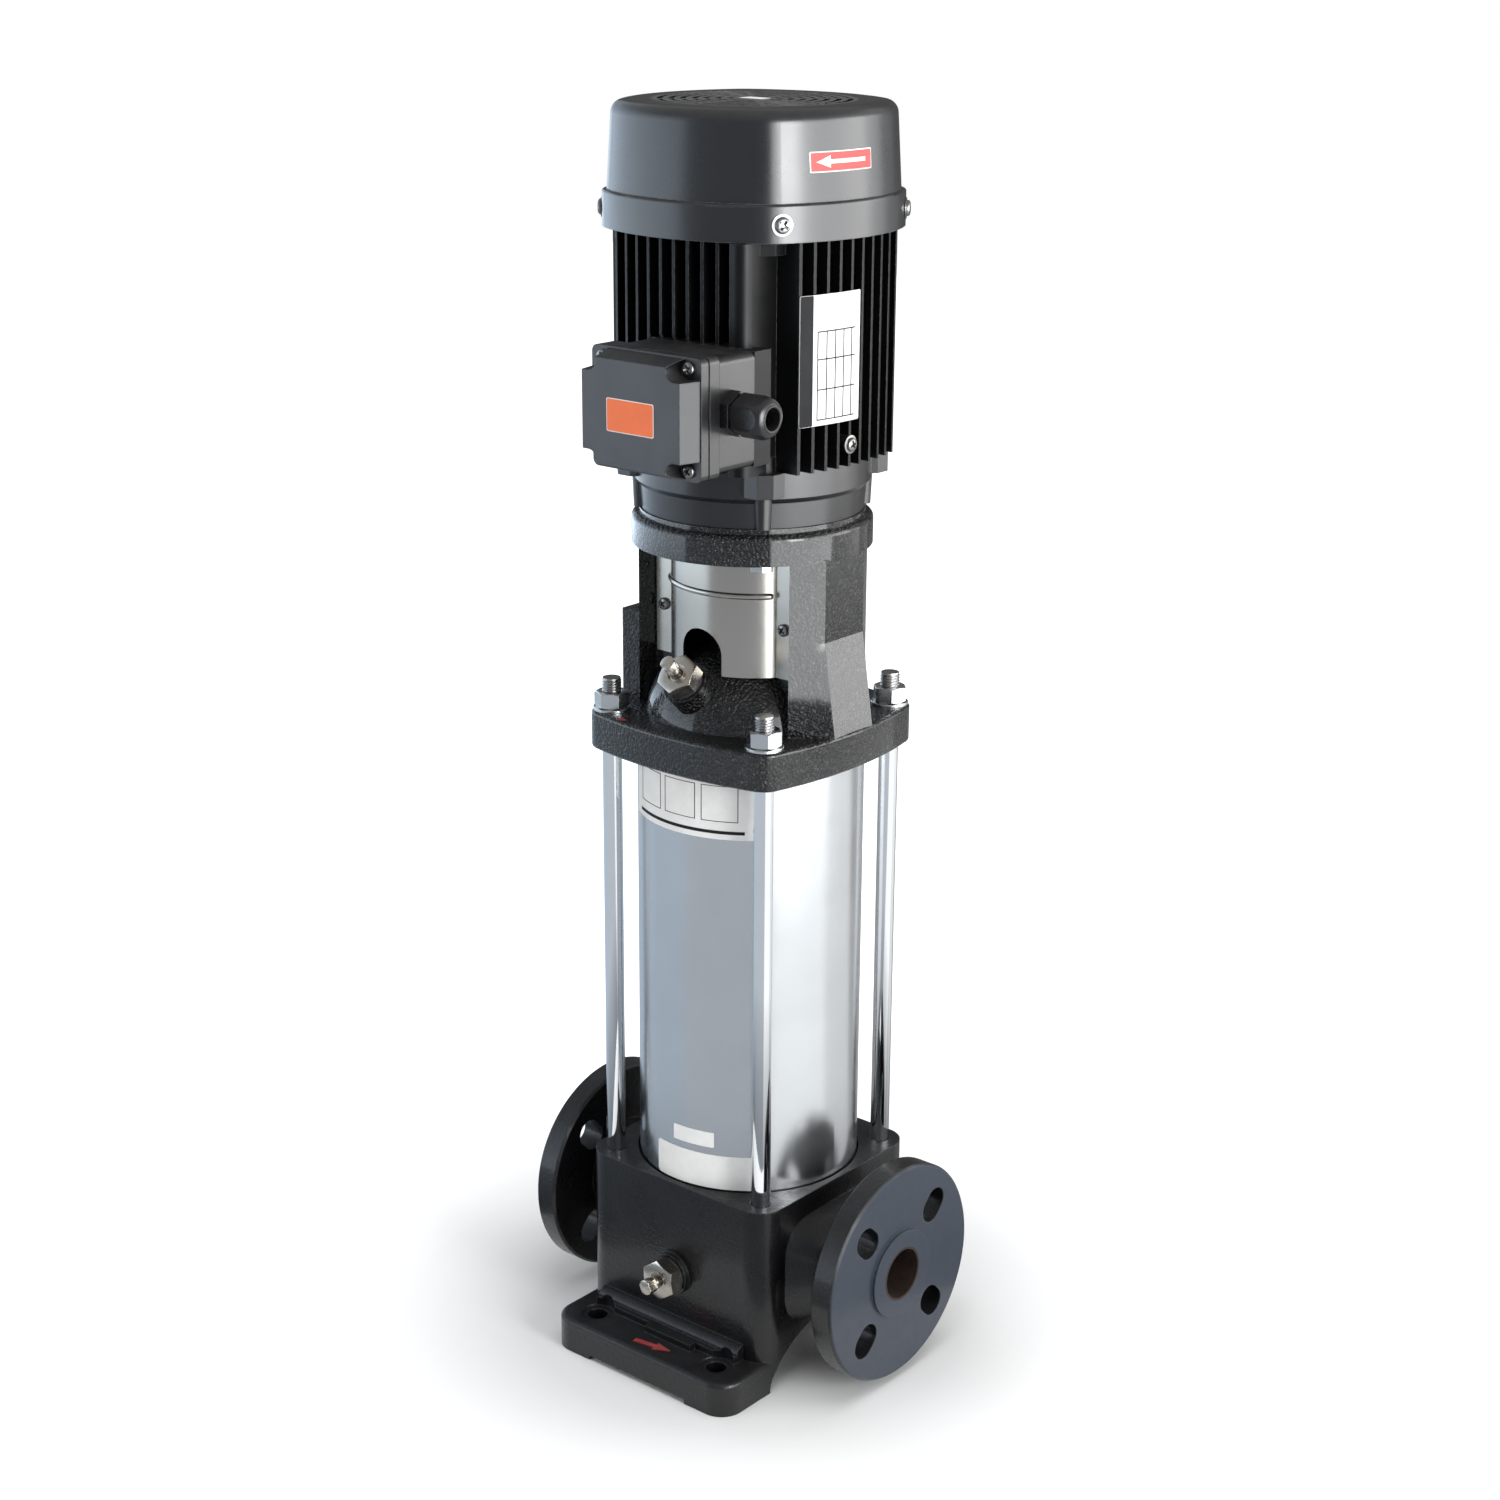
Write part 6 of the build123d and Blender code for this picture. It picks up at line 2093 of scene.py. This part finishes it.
def stage_sheet(name: str, mesh: bmesh.types.BMesh) -> tuple[bpy.types.Object, Graph]:
    """Make a sheet of the set with a material of its own.

    Args:
        name: Name of the sheet and of its material.
        mesh: Its mesh, which is freed.

    Returns:
        The sheet and its material's graph.
    """
    data = bpy.data.meshes.new(name)
    mesh.to_mesh(data)
    mesh.free()
    sheet = bpy.data.objects.new(name, data)
    bpy.context.scene.collection.objects.link(sheet)
    material = bpy.data.materials.new(name)
    material.use_nodes = True
    data.materials.append(material)
    return sheet, Graph(material.node_tree)


@dataclass(frozen=True)
class Lamp:
    """Soft box that stands round the set and leans to the object's middle."""

    name: str
    angle: float
    distance: float
    height: float
    size: tuple[float, float]
    power: float
    tint: Colour
    gloss: bool
    aim: float = 0.45

    def build(self) -> None:
        """Build the lamp."""
        turn = math.radians(self.angle)
        place = (self.distance * math.sin(turn), -self.distance * math.cos(turn), self.height)
        data = bpy.data.lights.new(self.name, "AREA")
        data.shape = "RECTANGLE"
        data.size, data.size_y = self.size
        data.energy = self.power
        data.color = self.tint
        lamp = bpy.data.objects.new(self.name, data)
        lamp.visible_glossy = self.gloss
        away = Vector(place) - Vector((0, 0, self.aim))
        lamp.matrix_world = frame_at(place, away, (-place[1], place[0], 0))
        bpy.context.scene.collection.objects.link(lamp)


@dataclass
class Studio:
    """Floor, cards, lamps, ceiling, world and camera."""

    floor_half: float = 4.0
    floor_drop: float = 0.0002
    camera_place: Point = (0.994864, -1.194061, 0.89415)
    azimuth: float = 39.822
    pitch: float = 17.971
    roll: float = 0.351
    lens: float = 64.012
    sensor: float = 36.0
    clip: tuple[float, float] = (0.05, 30.0)
    # Radii where the floor's glow starts and reaches white; inside the start the floor shows painted
    # shade.
    white_start: float = 0.14
    white_end: float = 0.5
    paper: float = 0.74
    paper_roughness: float = 0.8
    paper_specular: float = 0.1
    world_light: float = 0.4
    ceiling_height: float = 2.2
    ceiling_r: float = 2.3
    ceiling_rim: float = 3.2
    ceiling_levels: tuple[float, float] = (0.42, 0.5)
    ceiling_tint: Colour = (1.0, 0.99, 0.96)
    cards: tuple[Card, ...] = (
        Card("card_back_left", -180, -125, (0.3, 0.4, 0.4, 0.3, 0.14, 0.12), 2.2),
        Card("card_left", -125, -72, (0.25, 0.6, 0.66, 0.4, 2.6, 0.5), 2.2, (0.76, 0.9, 1.06),
             knots=(0.2, 0.42, 1.25, 2.0)),
        Card("card_left_front", -72, -25, (0.2, 0.58, 0.58, 0.4, 2.8, 0.4), 2.2, (0.8, 0.92, 1.04),
             knots=(0.2, 0.42, 1.25, 2.0)),
        Card("card_front", -25, 57, (0.25, 0.56, 0.56, 0.6, 0.4, 0.4), 2.2, (0.88, 0.94, 1.02)),
        Card("card_right", 57, 120, (0.35, 1.1, 1.1, 6.0, 5.6, 5.6), 1.4, (0.97, 0.99, 1.0),
             knots=(0.2, 0.42, 1.35, 1.65)),
        Card("card_right_back", 120, 160, (0.2, 0.8, 1.0, 0.5, 1.4, 3.2), 1.3, (0.98, 0.99, 1.0)),
        Card("card_back", 160, 180, (0.2, 0.4, 0.4, 0.3, 0.5, 0.5), 1.6),
    )
    lamps: tuple[Lamp, ...] = (
        Lamp("rim_box", 132, 1.9, 0.75, (0.8, 1.2), 11.0, (1.0, 0.99, 0.98), True),
        Lamp("left_box", -96, 1.9, 0.75, (0.8, 1.2), 9.0, (0.84, 0.94, 1.0), False),
        Lamp("front_box", -25, 1.9, 0.9, (1.2, 1.2), 11.0, (0.95, 0.98, 1.0), False),
        Lamp("right_box", 82, 1.9, 0.8, (0.6, 1.0), 22.0, (0.97, 0.99, 1.0), True),
        Lamp("top_box", 60, 0.5, 2.1, (1.4, 1.4), 22.0, (1.0, 1.0, 1.0), False),
    )

    def build(self) -> None:
        """Set up everything that isn't the object."""
        self.floor()
        for piece in (*self.cards, *self.lamps):
            piece.build()
        self.ceiling()
        self.world()
        self.camera()
        bpy.context.scene.view_settings.view_transform = "Standard"

    def ceiling(self) -> None:
        """Dim ceiling over the set, brighter to its rim, that only gloss sees."""
        mesh = bmesh.new()
        bmesh.ops.create_circle(mesh, cap_ends=True, segments=64, radius=self.ceiling_r)
        bmesh.ops.translate(mesh, verts=mesh.verts[:], vec=(0, 0, self.ceiling_height))

        def levels(graph: Graph) -> bpy.types.NodeSocket:
            """Strength from the middle to the rim."""
            away = graph.reach(graph.place())
            return graph.spread(away, self.ceiling_height, self.ceiling_rim, *self.ceiling_levels)

        glow_sheet("ceiling", mesh, self.ceiling_tint, levels)

    def floor(self) -> None:
        """Pale floor: it takes the object's shadow, and its glow rises from none near the object to white
        round it, which paints shade on the floor about the object's foot.
        """
        mesh = bmesh.new()
        bmesh.ops.create_grid(mesh, x_segments=1, y_segments=1, size=self.floor_half)
        floor, graph = stage_sheet("floor", mesh)
        floor.location = (0, 0, -self.floor_drop)
        shader = graph.tree.nodes["Principled BSDF"]
        shader.inputs["Base Color"].default_value = (*(self.paper,) * 3, 1)
        shader.inputs["Roughness"].default_value = self.paper_roughness
        shader.inputs["Specular IOR Level"].default_value = self.paper_specular
        # No glow near the object: painted shade on the floor round its foot, over the real shadow.
        away = graph.reach(graph.place())
        away = graph.spread(away, self.white_start, self.white_end, 0.0, 1.0)
        glow = graph.add("ShaderNodeEmission", Color=(1, 1, 1, 1))
        graph.wire(graph.maths("MULTIPLY", graph.seen(), away), glow, "Strength")
        both = graph.add("ShaderNodeAddShader")
        graph.wire(shader.outputs[0], both, 0)
        graph.wire(glow.outputs[0], both, 1)
        graph.show(both)

    def world(self) -> None:
        """White surroundings for the eye and for gloss, softer for light."""
        world = bpy.data.worlds.new("studio")
        world.use_nodes = True
        bpy.context.scene.world = world
        graph = Graph(world.node_tree)
        background = next(n for n in world.node_tree.nodes if n.type == "BACKGROUND")
        background.inputs["Color"].default_value = (1, 1, 1, 1)
        strength = graph.spread(graph.seen(), 0.0, 1.0, self.world_light, 1.0)
        graph.wire(strength, background, "Strength")

    def camera(self) -> None:
        """Camera at the viewing angle of the picture."""
        az, dip, roll = (math.radians(v) for v in (self.azimuth, self.pitch, self.roll))
        ahead = Vector((-math.sin(az) * math.cos(dip), math.cos(az) * math.cos(dip), -math.sin(dip)))
        level = Vector((math.cos(az), math.sin(az), 0))
        upright = level.cross(ahead)
        right = level * math.cos(roll) + upright * math.sin(roll)
        up = upright * math.cos(roll) - level * math.sin(roll)
        data = bpy.data.cameras.new("camera")
        data.lens = self.lens
        data.sensor_width = self.sensor
        data.clip_start, data.clip_end = self.clip
        camera = bpy.data.objects.new("camera", data)
        camera.matrix_world = (
            Matrix.Translation(self.camera_place) @ Matrix((right, up, -ahead)).transposed().to_4x4()
        )
        bpy.context.scene.collection.objects.link(camera)
        bpy.context.scene.camera = camera


def plugs() -> list[Plug]:
    """List the plugs.

    Returns:
        The drain plug in the base and the vent plug on the stool.
    """
    return [
        Plug("drain", (0, -78 * MM, 62 * MM), (0, -1, 0), "drain_screw", turn=36, spindle_turn=25),
        Plug("vent", (0, -61.5 * MM, 447 * MM), (0, -1, 1), "vent_screw", turn=38, spindle_turn=60),
    ]


def corners(x: float, y: float) -> list[tuple[float, float]]:
    """List the corners of a rectangle about the origin.

    Args:
        x: Half its width.
        y: Half its height.

    Returns:
        The corners, in the order of their screws.
    """
    return [(sx * x, sy * y) for sx in (1, -1) for sy in (1, -1)]


def screws() -> list[PanScrews]:
    """List every set of pan-head screws.

    Returns:
        The sets: fan cover, guards, terminal lid and earth.
    """
    turn, corner, corner_r, cover_z = math.radians(31.5), 39.35, 32, 718 * MM
    out_x, out_y = math.cos(turn), math.sin(turn)
    cover_x, cover_y = (corner + corner_r * out_x) * MM, (corner + corner_r * out_y) * MM
    guard_x, guard_y, guard_z = 46.5 * MM, 26.5 * MM, 480 * MM
    lid_x, lid_y, lid_z = 25.5, -122 * MM, 619
    lid_half_x, lid_half_z = 31.5, 28
    cover, guard, lid = [], [], []
    for x, y in corners(1, 1):
        cover.append(((x * cover_x, y * cover_y, cover_z), (x * out_x, y * out_y, 0)))
        guard.append(((x * guard_x, y * guard_y, guard_z), (0, y, 0)))
        seat = ((lid_x + x * lid_half_x) * MM, lid_y, (lid_z + y * lid_half_z) * MM)
        lid.append((seat, (0, -1, 0)))
    return [
        PanScrews("cover_screws", cover, 4.6 * MM, 2.8 * MM, 2.5 * MM, 8.5 * MM,
                  ["fan_cover_screws"], collar=6.2 * MM),
        PanScrews("guard_pan_screws", guard, 3.8 * MM, 2.4 * MM, 2 * MM, 8.5 * MM, ["guard_screws"]),
        PanScrews("lid_pan_screws", lid, 3.8 * MM, 2.4 * MM, 2 * MM, 15 * MM, ["lid_screws"]),
        PanScrews("earth_screw", [((77 * MM, -5.6 * MM, 591 * MM), (1, 0, 0))], 4 * MM, 2.6 * MM,
                  1.9 * MM, 8 * MM, [], collar=5.4 * MM),
    ]


def main() -> None:
    """Load the frame, build every sub-assembly and the studio."""
    logging.basicConfig(level=logging.INFO, format="%(name)s: %(message)s")
    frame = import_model()
    shop = Workshop(Palette())
    Frame(frame["nodes"]).dress(shop)
    StayBolts().build(shop)
    for assembly in (*plugs(), *screws(), Gland(), Films(frame["nodes"])):
        assembly.build(shop)
    Studio().build()


if __name__ == "__main__":
    main()
